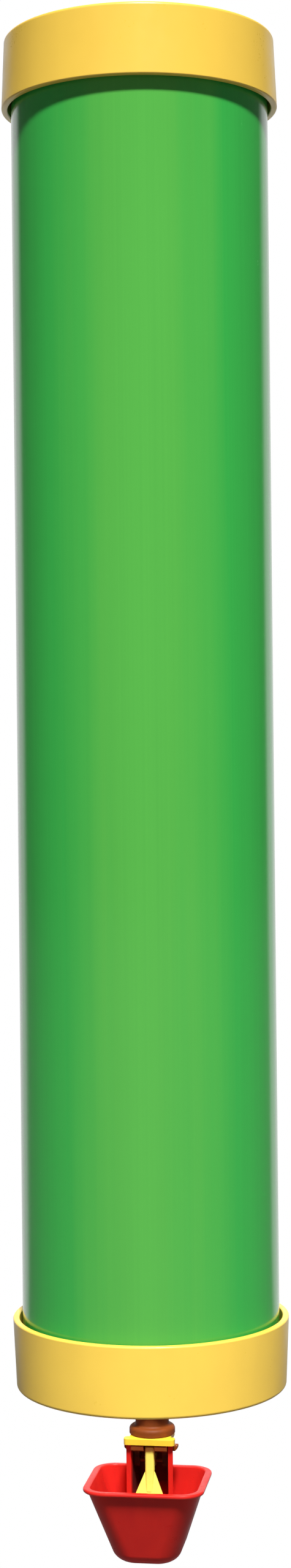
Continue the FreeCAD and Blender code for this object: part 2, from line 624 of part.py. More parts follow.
def make_chimney(body):
    """Adds the chimney to the cup: open in front, its sides close in on the back and carry the lug slots."""
    root = "Sizes.cup_floor / 2"
    front = "-Sizes.chimney_front"
    back = "Sizes.chimney_back"
    chimney = new_sketch(body, "chimney_outline", "XY_Plane", root)
    draw_polygon(chimney, [("-" + CHIMNEY_HALF % front, front), (CHIMNEY_HALF % front, front),
                           (CHIMNEY_HALF % back, back), ("-" + CHIMNEY_HALF % back, back)])
    block = pad(body, chimney, "chimney_block", "Sizes.chimney_height - " + root)

    def face_corner(edge):
        box = edge.BoundBox
        to_top = abs(box.ZMax - size("Sizes.chimney_height")) < NEAR
        return to_top and slanted(edge) and box.YMax < size(front) + NEAR

    dress(body, "Fillet", "chimney_corners", block, face_corner, "Radius", "Sizes.chimney_corner_radius")
    hollow = new_sketch(body, "chimney_bore_outline", "XY_Plane", "Sizes.chimney_height")
    mouth = "(" + front + " - Sizes.cut_margin)"
    end = "(Sizes.chimney_back - Sizes.chimney_wall)"
    draw_polygon(hollow, [("-" + BORE_HALF % mouth, mouth), (BORE_HALF % mouth, mouth),
                          (BORE_HALF % end, end), ("-" + BORE_HALF % end, end)])
    pocket(body, hollow, "chimney_bore", "Sizes.chimney_height - Sizes.cup_floor")
    slots = new_sketch(body, "lug_slot_outline", "YZ_Plane")
    draw_rectangle(slots, "-Sizes.pivot_offset - Sizes.lug_width / 2 - Sizes.lug_clearance",
                   "-Sizes.pivot_offset + Sizes.lug_width / 2 + Sizes.lug_clearance",
                   LUG_TOP + " - Sizes.lug_height - Sizes.lug_clearance", LUG_TOP + " + Sizes.lug_clearance")
    pocket(body, slots, "lug_slots", "Sizes.chimney_width * 2", symmetric=True)


# Trigger

def make_trigger():
    """One moulding: stem in the notch, web and hub on the hinge pin, heel under the valve pin, paddle."""
    body = new_body("trigger")
    side = new_sketch(body, "stem_profile", "YZ_Plane")
    face = "-" + STEM_FACE
    stem_back = face + " + Sizes.stem_thickness"
    top = PIVOT + " + Sizes.stem_rise"
    flare = "(" + PIVOT + " - Sizes.flare_drop)"
    web_foot = PIVOT + " - Sizes.web_height / 2"
    web_top = PIVOT + " + Sizes.web_height / 2"
    rib_end = (face + " - Sizes.rib_length * sin(Sizes.paddle_lean)",
               flare + " - Sizes.rib_length * cos(Sizes.paddle_lean)")
    rib_root = "(Sizes.rib_proud + Sizes.paddle_thickness / 2)"
    rib_foot = (rib_end[0] + " + " + rib_root + " * cos(Sizes.paddle_lean)",
                rib_end[1] + " - " + rib_root + " * sin(Sizes.paddle_lean)")
    pivot = "-Sizes.pivot_offset"
    draw_polygon(side, [(face, flare), rib_end, rib_foot, (stem_back, web_foot), (pivot, web_foot),
                        (pivot, web_top), (stem_back, web_top), (stem_back, top), (face, top)])
    stem = pad(body, side, "stem", "Sizes.stem_width", symmetric=True)

    def front_edge(edge):
        box = edge.BoundBox
        outer = box.XLength < NEAR and abs(abs(box.XMin) - size(HALF % "stem_width")) < NEAR
        return outer and slanted(edge) and box.YMax < size(face) + NEAR

    dress(body, "Fillet", "stem_round", stem, front_edge, "Radius", "Sizes.stem_round")

    hub = new_sketch(body, "hub_circle", "YZ_Plane")
    draw_circle(hub, HALF % "hub_dia", pivot, PIVOT)
    pad(body, hub, "hub", "Sizes.stem_width", symmetric=True)

    heel_level = PIN_BASE + " - Sizes.heel_gap - Sizes.heel_radius"
    heel = new_sketch(body, "heel_profile", "YZ_Plane")
    heel_foot = heel_level + " - Sizes.heel_radius"
    heel_top = heel_level + " + Sizes.heel_radius"
    hub_top = PIVOT + " + Sizes.hub_dia / 2"
    draw_polygon(heel, [(pivot, heel_foot), ("0", heel_foot), ("0", heel_top), (pivot, hub_top)])
    pad(body, heel, "heel", "Sizes.stem_width", symmetric=True)
    heel_end = new_sketch(body, "heel_circle", "YZ_Plane")
    draw_circle(heel_end, "Sizes.heel_radius", "0", heel_level)
    pad(body, heel_end, "heel_pad", "Sizes.stem_width", symmetric=True)

    make_paddle(body, flare)
    bore = new_sketch(body, "trigger_bore_circle", "YZ_Plane")
    draw_circle(bore, "Sizes.pivot_dia / 2 + Sizes.hub_clearance", pivot, PIVOT)
    pocket(body, bore, "trigger_bore", "Sizes.stem_width * 2", symmetric=True)
    return body


def make_paddle(body, flare):
    """Flared plate under the stem's rib, leaning forward into the bowl from the level flare."""
    paddle = new_sketch(body, "paddle_outline", "XZ_Plane")
    paddle.setExpression("AttachmentOffset.Base.y", flare)
    paddle.setExpression("AttachmentOffset.Base.z", STEM_FACE + " - Sizes.rib_proud")
    paddle.setExpression("AttachmentOffset.Rotation.Axis.x", "1")
    paddle.setExpression("AttachmentOffset.Rotation.Axis.z", "0")
    paddle.setExpression("AttachmentOffset.Rotation.Angle", "-Sizes.paddle_lean * 1 deg")
    stem_half = HALF % "stem_width"
    wide_half = HALF % "paddle_width"
    draw_polygon(paddle, [("-" + stem_half, "0"), ("-" + wide_half, "-Sizes.paddle_flare"),
                          ("-" + wide_half, "-Sizes.paddle_length"), (wide_half, "-Sizes.paddle_length"),
                          (wide_half, "-Sizes.paddle_flare"), (stem_half, "0")])
    plate = pad(body, paddle, "paddle", "Sizes.paddle_thickness", reversed_side=True)

    def lower_corner(edge):
        box = edge.BoundBox
        outer = box.XLength < NEAR and abs(abs(box.XMin) - size(wide_half)) < NEAR
        drop = "Sizes.paddle_length * cos(Sizes.paddle_lean)"
        return outer and box.ZMax < size(flare + " - " + drop) + NEAR

    dress(body, "Fillet", "paddle_corners", plate, lower_corner, "Radius", "Sizes.paddle_corner_radius")


def make_hinge_pin():
    body = new_body("hinge_pin")
    sketch = new_sketch(body, "hinge_pin_circle", "YZ_Plane")
    draw_circle(sketch, HALF % "pivot_dia", "-Sizes.pivot_offset", PIVOT)
    end = BLOCK_HALF % "-Sizes.pivot_offset + Sizes.pivot_dia / 2"
    pad(body, sketch, "hinge_pin_shaft", "2 * " + end, symmetric=True)
    return body


# Valve

def make_valve_pin():
    body = new_body("valve_pin")
    sketch = new_sketch(body, "valve_pin_profile", "XZ_Plane")
    shaft = HALF % "pin_dia"
    head = HALF % "pin_head_dia"
    draw_polygon(sketch, [("0", PIN_BASE), (shaft, PIN_BASE), (shaft, SEAL_TOP), (head, SEAL_TOP),
                          (head, PIN_TOP), ("0", PIN_TOP)])
    revolve(body, sketch, "valve_pin_turned")
    return body


def make_valve_seal():
    body = new_body("valve_seal")
    sketch = new_sketch(body, "valve_seal_section", "XY_Plane", SEAT)
    draw_circle(sketch, HALF % "seal_dia")
    draw_circle(sketch, HALF % "pin_dia")
    pad(body, sketch, "valve_seal_ring", "Sizes.seal_thickness")
    return body


def make_spring():
    """Compression spring between the valve pin's head and the strainer's end."""
    wire = HALF % "spring_wire_dia"
    foot = "(" + PIN_TOP + " + Sizes.spring_end_gap + " + wire + ")"
    height = "(" + STRAINER_BASE + " - Sizes.spring_end_gap - " + wire + ") - " + foot
    path = doc.addObject("Part::Helix", "spring_path")
    path.setExpression("Radius", HALF % "spring_dia")
    path.setExpression("Height", height)
    path.setExpression("Pitch", "(" + height + ") / Sizes.spring_turns")
    section = doc.addObject("Part::Circle", "spring_section")
    section.setExpression("Radius", wire)
    section.Placement = Placement(Vector(0, 0, 0), Rotation(Vector(1, 0, 0), 90))
    section.setExpression("Placement.Base.x", HALF % "spring_dia")
    coil = doc.addObject("Part::Sweep", "valve_spring")
    coil.Label = "valve_spring"
    coil.Sections = [section]
    coil.Spine = (path, ["Edge1"])
    coil.Solid = True
    coil.Frenet = True
    coil.setExpression("Placement.Base.z", foot)
    doc.recompute()
    return coil


def make_parts():
    return [
        make_tube(),
        make_top_cap(),
        make_bottom_cap(),
        make_washer("outer_washer", BOTTOM_CAP_BASE + " - Sizes.washer_thickness"),
        make_washer("inner_washer", BOTTOM_CAP_FLOOR),
        make_nut("outer_nut", BOTTOM_CAP_BASE + " - Sizes.washer_thickness - Sizes.nut_height"),
        make_nut("lock_nut", BOTTOM_CAP_FLOOR + " + Sizes.washer_thickness"),
        make_strainer(),
        make_valve_body(),
        make_clip(),
        make_cup(),
        make_trigger(),
        make_hinge_pin(),
        make_valve_pin(),
        make_valve_seal(),
        make_spring(),
    ]


def check_document(parts):
    """Stops with a plain message if any object failed or any part's solid is missing or unsound."""
    for item in doc.Objects:
        if any(word in ("Invalid", "Error") for word in item.State):
            raise RuntimeError("%s failed: %s" % (item.Label, item.State))
    for item in parts:
        if item.Shape.isNull() or not item.Shape.isValid() or not item.Shape.Solids:
            raise RuntimeError("%s has no sound solid" % item.Label)


def export(parts):
    os.makedirs("parts", exist_ok=True)
    for item in parts:
        item.Shape.exportStep(os.path.join("parts", item.Label + ".step"))


parts = make_parts()
doc.recompute()
check_document(parts)
export(parts)
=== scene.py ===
import math

import bpy
from mathutils import Euler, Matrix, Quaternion, Vector


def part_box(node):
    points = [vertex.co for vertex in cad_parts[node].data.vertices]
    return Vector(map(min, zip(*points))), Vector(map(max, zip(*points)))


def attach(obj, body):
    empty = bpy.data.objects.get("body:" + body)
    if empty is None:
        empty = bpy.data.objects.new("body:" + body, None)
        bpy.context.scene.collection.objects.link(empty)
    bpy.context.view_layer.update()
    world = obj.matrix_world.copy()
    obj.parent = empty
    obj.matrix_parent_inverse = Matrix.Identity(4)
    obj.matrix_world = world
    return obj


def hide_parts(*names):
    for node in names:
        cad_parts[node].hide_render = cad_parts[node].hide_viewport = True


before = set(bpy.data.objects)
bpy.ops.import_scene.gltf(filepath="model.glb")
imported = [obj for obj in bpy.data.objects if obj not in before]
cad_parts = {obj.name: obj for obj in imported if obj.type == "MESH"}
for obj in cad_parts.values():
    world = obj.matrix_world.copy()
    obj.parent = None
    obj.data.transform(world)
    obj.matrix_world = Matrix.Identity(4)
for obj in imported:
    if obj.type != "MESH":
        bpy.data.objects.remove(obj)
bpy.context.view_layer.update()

bl_info = {
    "name": "Chick Waterer",
    "version": (1, 0, 0),
    "blender": (4, 5, 0),
    "location": "3D Viewport > Sidebar > Waterer",
    "description": "Dresses the hanging tube waterer and its pecking cup",
    "category": "Add Mesh",
}

# Sizes are in metres. Low and high corners of the frame's nodes set where each piece goes.
MM = 0.001
TUBE_LOW, TUBE_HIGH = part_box("tube")
TOP_CAP_LOW, TOP_CAP_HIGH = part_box("top_cap")
BOTTOM_CAP_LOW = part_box("bottom_cap")[0]
BODY_LOW, BODY_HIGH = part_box("valve_body")
CLIP_LOW, CLIP_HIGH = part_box("retaining_clip")
CUP_LOW, CUP_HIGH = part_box("drinker_cup")
TRIGGER_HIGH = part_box("trigger")[1]


# Settings that a maker would change

def length(name, value, description):
    return bpy.props.FloatProperty(name=name, description=description, default=value, min=0.0, precision=5,
                                   unit="LENGTH", subtype="DISTANCE")


def colour(name, value, description):
    return bpy.props.FloatVectorProperty(name=name, description=description, default=value, size=3, min=0.0,
                                         max=1.0, subtype="COLOR")


def share(name, value, description):
    return bpy.props.FloatProperty(name=name, description=description, default=value, min=0.0, max=1.0,
                                   subtype="FACTOR")


def turn(name, value, description):
    return bpy.props.FloatProperty(name=name, description=description, default=math.radians(value),
                                   unit="ROTATION", subtype="ANGLE")


def power(name, value, description):
    return bpy.props.FloatProperty(name=name, description=description, default=value, min=0.0, unit="POWER")


class TankSettings(bpy.types.PropertyGroup):
    wall: length("Tube wall", 3.0 * MM, "Thickness of the water tube")
    end_chamfer: length("Tube end chamfer", 0.8 * MM, "Chamfer on the tube's cut ends")
    cap_floor: length("Cap floor", 3.0 * MM, "Thickness of a cap's closed end")
    cap_seat: length("Cap seat clearance", 0.3 * MM, "Between tube and cap at the closed end")
    cap_mouth: length("Cap mouth clearance", 1.4 * MM, "Between tube and cap at the mouth")
    cap_skirt: length("Cap skirt", 2.5 * MM, "Wall of a cap's skirt at the closed end")
    cap_lip: length("Cap lip", 2.66 * MM, "Wall of a cap's skirt at the mouth")
    cap_edge_radius: length("Cap edge radius", 1.5 * MM, "Rounding of a cap's closed end")
    cap_lip_radius: length("Cap lip radius", 0.8 * MM, "Rounding of a cap's mouth")
    vent_radius: length("Vent radius", 1.5 * MM, "Air hole in the top cap")
    neck_hole: length("Neck hole radius", 7.4 * MM, "Hole for the neck in the bottom cap, washers and nuts")
    green: colour("Tube green", (0.038, 0.415, 0.065), "Green pipe")
    # Painted sheen: a paler, warmer green laid on the side of the tube that faces the camera, where a sheen of light
    # would be.
    brightened: colour("Painted sheen green", (0.090, 0.42, 0.062), "Tube where the light has faded it")
    yellow: colour("Cap yellow", (0.97, 0.635, 0.088), "Yellow caps")


class CupSettings(bpy.types.PropertyGroup):
    rim_height: length("Rim height", 33.5 * MM, "Top of the cup's rim above its base")
    rim_thickness: length("Rim thickness", 1.6 * MM, "Flange round the cup's rim")
    rim_overhang: length("Rim overhang", 1.2 * MM, "Flange beyond the cup's body")
    rim_corner: length("Rim corner radius", 9.5 * MM, "Corners of the rim")
    rim_round: length("Rim rounding", 0.6 * MM, "Rounding of the rim's edges")
    base_half: length("Base half width", 13.0 * MM, "Half of the cup's base, side to side")
    base_front: length("Base front", 25.0 * MM, "Front of the cup's base from the axis")
    base_round: length("Base rounding", 5.0 * MM, "Rounding of the cup's lower edge")
    wall: length("Cup wall", 1.5 * MM, "Thickness of the cup's walls")
    floor: length("Cup floor", 2.2 * MM, "Thickness of the cup's floor")
    bowl_round: length("Bowl rounding", 3.4 * MM, "Rounding inside the cup's floor")
    chimney_half: length("Chimney half width", 10.05 * MM, "Half of the chimney at its face, side to side")
    chimney_taper: turn("Chimney taper", 8.7, "Lean of each side toward the middle at the back")
    chimney_front: length("Chimney front", 8.7 * MM, "Chimney's face from the axis")
    chimney_back: length("Chimney back", 7.2 * MM, "Chimney's and cup's back from the axis")
    chimney_wall: length("Chimney wall", 2.1 * MM, "Thickness of the chimney's walls")
    block_gap: length("Block clearance", 0.2 * MM, "Between the valve body's block and the chimney")
    red: colour("Cup red", (0.62, 0.018, 0.013), "Red cup")


class ValveSettings(bpy.types.PropertyGroup):
    neck_radius: length("Neck radius", 7.2 * MM, "Threaded neck, over the thread")
    thread_depth: length("Thread depth", 0.62 * MM, "Depth of the neck's thread")
    thread_pitch: length("Thread pitch", 1.5 * MM, "Rise of the thread in one turn")
    collar_radius: length("Collar radius", 9.8 * MM, "Collar above the clip")
    collar_round: length("Collar rounding", 1.6 * MM, "Rounding of the collar's upper edge")
    throat_radius: length("Throat radius", 6.9 * MM, "Stretch that the clip holds")
    paddle_lean: turn("Paddle lean", 17.0, "Forward lean of the trigger's paddle")
    brown: colour("Body brown", (0.185, 0.043, 0.007), "Brown valve body and nuts")
    clip_yellow: colour("Clip yellow", (0.84, 0.62, 0.04), "Yellow retaining clip")
    trigger_yellow: colour("Trigger yellow", (0.86, 0.77, 0.13), "Yellow trigger")
    strainer_white: colour("Strainer white", (0.74, 0.73, 0.68), "Strainer plug")
    rubber: colour("Rubber", (0.022, 0.021, 0.020), "Washers and valve seal")
    steel: colour("Steel", (0.56, 0.55, 0.53), "Pins and spring")


class StudioSettings(bpy.types.PropertyGroup):
    camera_distance: length("Camera distance", 1.038, "From the tube's axis")
    camera_height: length("Camera height", 0.3423, "Above the cup's base")
    camera_turn: turn("Camera turn", 8.5, "How far the camera stands to the cup's left of its front")
    camera_roll: turn("Camera roll", -0.57, "Tilt of the picture")
    focal_length: bpy.props.FloatProperty(name="Lens", description="Focal length in millimetres", default=55.49,
                                          min=1.0, subtype="DISTANCE_CAMERA")
    shift: bpy.props.FloatProperty(name="Shift", description="Upright shift that frames the picture",
                                   default=-0.0215)
    tank_power: power("Tank light", 8000.0, "Power of the tank's lamp in watts")
    cup_power: power("Cup light", 8400.0, "Power of the cup's lamp in watts")
    rear_power: power("Rear light", 2400.0, "Power of the lamp for the back in watts")
    lamp_reach: length("Lamp distance", 20.0, "From the tube to each lamp")
    tank_lamp: length("Tank lamp size", 1.75, "Width of the tank's lamp")
    cup_lamp: length("Cup lamp size", 3.5, "Width of the cup's lamp")
    fill: share("Fill", 0.09, "Even light from all round")
    dim_room: share("Dim room", 0.10, "How light the room before the backdrop is in reflections")
    paper: share("Paper", 0.80, "How pale the floor is")
    bounce: share("Bounce", 0.13, "How much light the floor throws back on the waterer")


# Modelling helpers

def start_clean():
    """Leaves edit mode and selects nothing, so that an operator acts on the new piece alone."""
    if bpy.context.mode != "OBJECT":
        bpy.ops.object.mode_set(mode="OBJECT")
    bpy.ops.object.select_all(action="DESELECT")


def activate(piece):
    start_clean()
    piece.select_set(True)
    bpy.context.view_layer.objects.active = piece


def named(name):
    piece = bpy.context.view_layer.objects.active
    piece.name = name
    piece.data.name = name
    return piece


def block(name, low, high):
    """Box between two corners, with its place in the mesh."""
    start_clean()
    low, high = Vector(low), Vector(high)
    bpy.ops.mesh.primitive_cube_add(size=1, location=(low + high) / 2, scale=high - low)
    bpy.ops.object.transform_apply(location=True, rotation=True, scale=True)
    return named(name)


def pick(piece, kind, wanted):
    """Selects in edit mode only those points, edges or faces whose corners all pass the test."""
    activate(piece)
    bpy.ops.object.mode_set(mode="EDIT")
    bpy.ops.mesh.select_mode(type=kind)
    bpy.ops.mesh.select_all(action="DESELECT")
    bpy.ops.object.mode_set(mode="OBJECT")
    mesh = piece.data
    found = 0
    items = {"VERT": mesh.vertices, "EDGE": mesh.edges, "FACE": mesh.polygons}[kind]
    for item in items:
        corners = [item.co] if kind == "VERT" else [mesh.vertices[index].co for index in item.vertices]
        if wanted(corners):
            item.select = True
            found += 1
    if not found:
        raise RuntimeError("nothing is picked on %s" % piece.name)
    bpy.ops.object.mode_set(mode="EDIT")


def leave_edit():
    bpy.ops.object.mode_set(mode="OBJECT")


NEAR = 0.02 * MM


def at_level(level):
    """Test for what lies flat at this height."""
    return lambda corners: all(abs(point.z - level) < NEAR for point in corners)


def climbing(corners):
    """Test for edges that climb, upright or leaning."""
    return len(corners) == 2 and abs(corners[0].z - corners[1].z) > 10 * NEAR


def round_edges(piece, wanted, radius, segments):
    pick(piece, "EDGE", wanted)
    bpy.ops.mesh.bevel(offset=radius, offset_type="OFFSET", segments=segments, profile=0.5, affect="EDGES")
    leave_edit()


def soften(piece, radius, segments=2, angle=40.0):
    """Rounds every edge that is sharper than the angle."""
    activate(piece)
    bpy.ops.object.modifier_add(type="BEVEL")
    change = piece.modifiers[-1]
    change.width = radius
    change.segments = segments
    change.limit_method = "ANGLE"
    change.angle_limit = math.radians(angle)
    bpy.ops.object.modifier_apply(modifier=change.name)


def combine(piece, tool, operation):
    """Joins the tool to the piece or cuts it out, and deletes the tool."""
    activate(piece)
    bpy.ops.object.modifier_add(type="BOOLEAN")
    change = piece.modifiers[-1]
    change.operation = operation
    change.solver = "EXACT"
    change.object = tool
    bpy.ops.object.modifier_apply(modifier=change.name)
    bpy.data.objects.remove(tool, do_unlink=True)


def cut(piece, tool):
    combine(piece, tool, "DIFFERENCE")


def fuse(piece, tool):
    combine(piece, tool, "UNION")


def gather(piece, others):
    """Makes one object of the piece and the others."""
    activate(piece)
    for other in others:
        other.select_set(True)
    bpy.ops.object.join()


def arc(centre, radius, start, end, steps):
    """Points (radius from the axis, height) along a rounding, from one angle to another in degrees."""
    points = []
    for step in range(steps + 1):
        angle = math.radians(start + (end - start) * step / steps)
        points.append((centre[0] + radius * math.cos(angle), centre[1] + radius * math.sin(angle)))
    return points


def first_point(name):
    """New piece of a single picked point at the origin, left in edit mode to be extruded."""
    bpy.ops.mesh.primitive_plane_add(size=1)
    piece = named(name)
    bpy.ops.object.mode_set(mode="EDIT")
    bpy.ops.mesh.select_mode(type="VERT")
    bpy.ops.mesh.select_all(action="SELECT")
    bpy.ops.mesh.merge(type="CENTER")
    return piece


def turned(name, profile, steps, closed=True):
    """Solid of revolution: a point is extruded along the profile, and the line is spun round the axis."""
    start_clean()
    piece = first_point(name)
    path = list(profile) + [profile[0]] if closed else list(profile)
    bpy.ops.transform.translate(value=(path[0][0], 0, path[0][1]))
    for last, following in zip(path, path[1:]):
        move = (following[0] - last[0], 0, following[1] - last[1])
        bpy.ops.mesh.extrude_region_move(TRANSFORM_OT_translate={"value": move})
    bpy.ops.mesh.select_all(action="SELECT")
    bpy.ops.mesh.spin(steps=steps, angle=math.tau, center=(0, 0, 0), axis=(0, 0, 1))
    bpy.ops.mesh.select_all(action="SELECT")
    bpy.ops.mesh.remove_doubles(threshold=0.001 * MM)
    bpy.ops.mesh.normals_make_consistent(inside=False)
    leave_edit()
    return piece


def keystone(name, front, back, low, high):
    """Upright block between two levels; front and back each give a distance along Y and a half width there."""
    (front_y, front_half), (back_y, back_half) = front, back
    piece = block(name, (-front_half, front_y, low), (front_half, back_y, high))
    pick(piece, "VERT", lambda corners: corners[0].y > back_y - NEAR)
    bpy.ops.transform.resize(value=(back_half / front_half, 1, 1), center_override=(0, back_y, low))
    leave_edit()
    return piece


def rod(name, radius, low, high, centre=(0.0, 0.0), along="Z", steps=48):
    """Straight round bar along one axis; centre holds the two other coordinates."""
    start_clean()
    middle = (low + high) / 2
    place = {"Z": (centre[0], centre[1], middle), "X": (middle, centre[0], centre[1])}[along]
    rotation = {"Z": (0, 0, 0), "X": (0, math.pi / 2, 0)}[along]
    bpy.ops.mesh.primitive_cylinder_add(vertices=steps, radius=radius, depth=high - low, location=place,
                                        rotation=rotation)
    bpy.ops.object.transform_apply(location=True, rotation=True, scale=True)
    return named(name)


def shade(piece, angle=35.0):
    """Smooth shading with true flats: edges sharper than the angle stay sharp."""
    activate(piece)
    bpy.ops.object.shade_smooth_by_angle(angle=math.radians(angle))
    bpy.ops.object.modifier_add(type="WEIGHTED_NORMAL")
    change = piece.modifiers[-1]
    change.keep_sharp = True
    bpy.ops.object.modifier_apply(modifier=change.name)


# Finishes

class Finish:
    """One node material, built up in layers on the shader that Blender gives it."""

    def __init__(self, name):
        self.material = bpy.data.materials.new(name)
        self.material.use_nodes = True
        self.nodes = self.material.node_tree.nodes
        self.links = self.material.node_tree.links
        self.shader = self.nodes["Principled BSDF"]
        self.place = self.nodes.new("ShaderNodeTexCoord").outputs["Object"]

    def noise(self, scale, detail=3.0, roughness=0.5, stretch=(1.0, 1.0, 1.0)):
        """Noise in the piece's own space; stretch scales it along each axis."""
        mapping = self.nodes.new("ShaderNodeMapping")
        mapping.inputs["Scale"].default_value = stretch
        self.links.new(self.place, mapping.inputs["Vector"])
        node = self.nodes.new("ShaderNodeTexNoise")
        node.inputs["Scale"].default_value = scale
        node.inputs["Detail"].default_value = detail
        node.inputs["Roughness"].default_value = roughness
        self.links.new(mapping.outputs["Vector"], node.inputs["Vector"])
        return node.outputs["Fac"]

    def remap(self, value, from_low, from_high, to_low, to_high):
        node = self.nodes.new("ShaderNodeMapRange")
        for name, number in (("From Min", from_low), ("From Max", from_high), ("To Min", to_low),
                             ("To Max", to_high)):
            node.inputs[name].default_value = number
        self.links.new(value, node.inputs["Value"])
        return node.outputs["Result"]

    def swing(self, noise, low, high):
        """Maps the range that noise mostly keeps to onto low and high."""
        return self.remap(noise, 0.3, 0.7, low, high)

    def along(self, direction):
        """Distance along a direction in the piece's own space."""
        node = self.nodes.new("ShaderNodeVectorMath")
        node.operation = "DOT_PRODUCT"
        node.inputs[1].default_value = direction
        self.links.new(self.place, node.inputs[0])
        return node.outputs["Value"]

    def blend(self, amount, first, second):
        """Mixes two colours; each is a colour or another node's output."""
        node = self.nodes.new("ShaderNodeMix")
        node.data_type = "RGBA"
        self.links.new(amount, node.inputs["Factor"])
        for socket, value in ((node.inputs[6], first), (node.inputs[7], second)):
            if isinstance(value, bpy.types.NodeSocket):
                self.links.new(value, socket)
            else:
                socket.default_value = (*value, 1.0)
        return node.outputs[2]

    def add(self, first, second, operation="ADD"):
        node = self.nodes.new("ShaderNodeMath")
        node.operation = operation
        for socket, value in zip(node.inputs, (first, second)):
            if isinstance(value, bpy.types.NodeSocket):
                self.links.new(value, socket)
            else:
                socket.default_value = value
        return node.outputs["Value"]

    def bump(self, height, distance, strength=1.0):
        """Adds relief under any relief that is there already."""
        node = self.nodes.new("ShaderNodeBump")
        node.inputs["Strength"].default_value = strength
        node.inputs["Distance"].default_value = distance
        self.links.new(height, node.inputs["Height"])
        socket = self.shader.inputs["Normal"]
        if socket.is_linked:
            self.links.new(socket.links[0].from_socket, node.inputs["Normal"])
        self.links.new(node.outputs["Normal"], socket)

    def colour(self, output):
        self.links.new(output, self.shader.inputs["Base Color"])

    def stain(self, amount, value):
        """Lays a colour over the one that is there."""
        self.colour(self.blend(amount, self.shader.inputs["Base Color"].links[0].from_socket, value))

    def roughness(self, output):
        self.links.new(output, self.shader.inputs["Roughness"])


def shifted(value, factor, warm=0.0):
    """A colour made lighter or darker by the factor and a little warmer."""
    return tuple(min(1.0, max(0.0, part * factor + warm * weight)) for part, weight in zip(value, (1, 0.4, -0.2)))


def moulded_plastic(name, base, gloss=0.32, grain=0.004, spread=0.06, coarse=28.0, shine=0.5):
    """Injection-moulded plastic: faint flow clouds, fine mould grain, and handling marks in the gloss."""
    finish = Finish(name)
    clouds = finish.noise(coarse, 4.0, 0.55)
    flow = finish.noise(coarse * 3.0, 2.0, 0.5, stretch=(1.0, 1.0, 0.25))
    depth = finish.add(finish.swing(clouds, 0.0, 0.6), finish.swing(flow, 0.0, 0.4))
    toned = finish.blend(depth, shifted(base, 1.0 - spread, -0.004), shifted(base, 1.0 + spread, 0.004))
    specks = finish.remap(finish.noise(coarse * 60.0, 2.0, 0.6), 0.74, 0.84, 0.0, 0.12)
    finish.colour(finish.blend(specks, toned, shifted(base, 0.72)))
    smudges = finish.remap(finish.noise(coarse * 1.6, 5.0, 0.65), 0.35, 0.72, 0.0, 1.0)
    fine = finish.swing(finish.noise(coarse * 40.0, 2.0, 0.5), -0.03, 0.03)
    finish.roughness(finish.add(finish.remap(smudges, 0.0, 1.0, gloss - 0.05, gloss + 0.09), fine))
    finish.bump(finish.noise(coarse * 90.0, 0.0, 0.5), grain * MM, 0.35)
    finish.bump(finish.noise(coarse * 0.9, 2.0, 0.4), 0.05 * MM, 0.5)
    finish.shader.inputs["IOR"].default_value = 1.49
    finish.shader.inputs["Specular IOR Level"].default_value = shine
    return finish


def ahead(studio):
    """Level direction in which the camera looks."""
    return (-math.sin(studio.camera_turn), math.cos(studio.camera_turn), 0.0)


def higher_cap_painted_shade(finish):
    """Painted shade: the cap that hangs higher gets a deeper, darker yellow, more of it the higher it is."""
    high = finish.add(finish.along((0.0, 0.0, 1.0)), finish.swing(finish.noise(30.0, 3.0), -0.03, 0.03))
    finish.stain(finish.swing(high, 0.0, 0.36), (0.50, 0.30, 0.035))


def chimney_painted_shade(finish, cup):
    """Painted shade on the walls inside the chimney, from about 20 mm above the base upward, with a wavy lower edge."""
    sideways = finish.add(finish.along((1.0, 0.0, 0.0)), 0.0, "ABSOLUTE")
    deep = finish.along((0.0, 1.0, 0.0))
    wobble = finish.swing(finish.noise(240.0, 4.0, 0.6), -2.0 * MM, 2.0 * MM)
    wall = finish.add(sideways, finish.add(deep, math.tan(cup.chimney_taper), "MULTIPLY"))
    half = bore_half(cup, 0.0)
    level = finish.add(finish.along((0.0, 0.0, 1.0)), wobble)
    amount = finish.remap(wall, half + 0.1 * MM, half + 0.5 * MM, 1.0, 0.0)
    for share_of in (finish.remap(deep, -8.4 * MM, -6.0 * MM, 0.0, 1.0),
                     finish.remap(deep, cup.chimney_back - 1.6 * MM, cup.chimney_back - 1.0 * MM, 1.0, 0.0),
                     finish.remap(level, 20.0 * MM, 27.0 * MM, 0.0, 1.0)):
        amount = finish.add(amount, share_of, "MULTIPLY")
    # The painted shade's colour: a near-black red.
    finish.stain(amount, (0.11, 0.020, 0.018))


def leg_painted_shade(finish):
    """Painted shade on the valve body's legs, which hang in the chimney: darker below the block, away from the middle.
    """
    sideways = finish.add(finish.along((1.0, 0.0, 0.0)), 0.0, "ABSOLUTE")
    beside = finish.remap(sideways, 4.8 * MM, 5.2 * MM, 0.0, 1.0)
    below = finish.remap(finish.along((0.0, 0.0, 1.0)), 41.0 * MM, 43.2 * MM, 0.9, 0.0)
    finish.stain(finish.add(beside, below, "MULTIPLY"), (0.040, 0.012, 0.006))


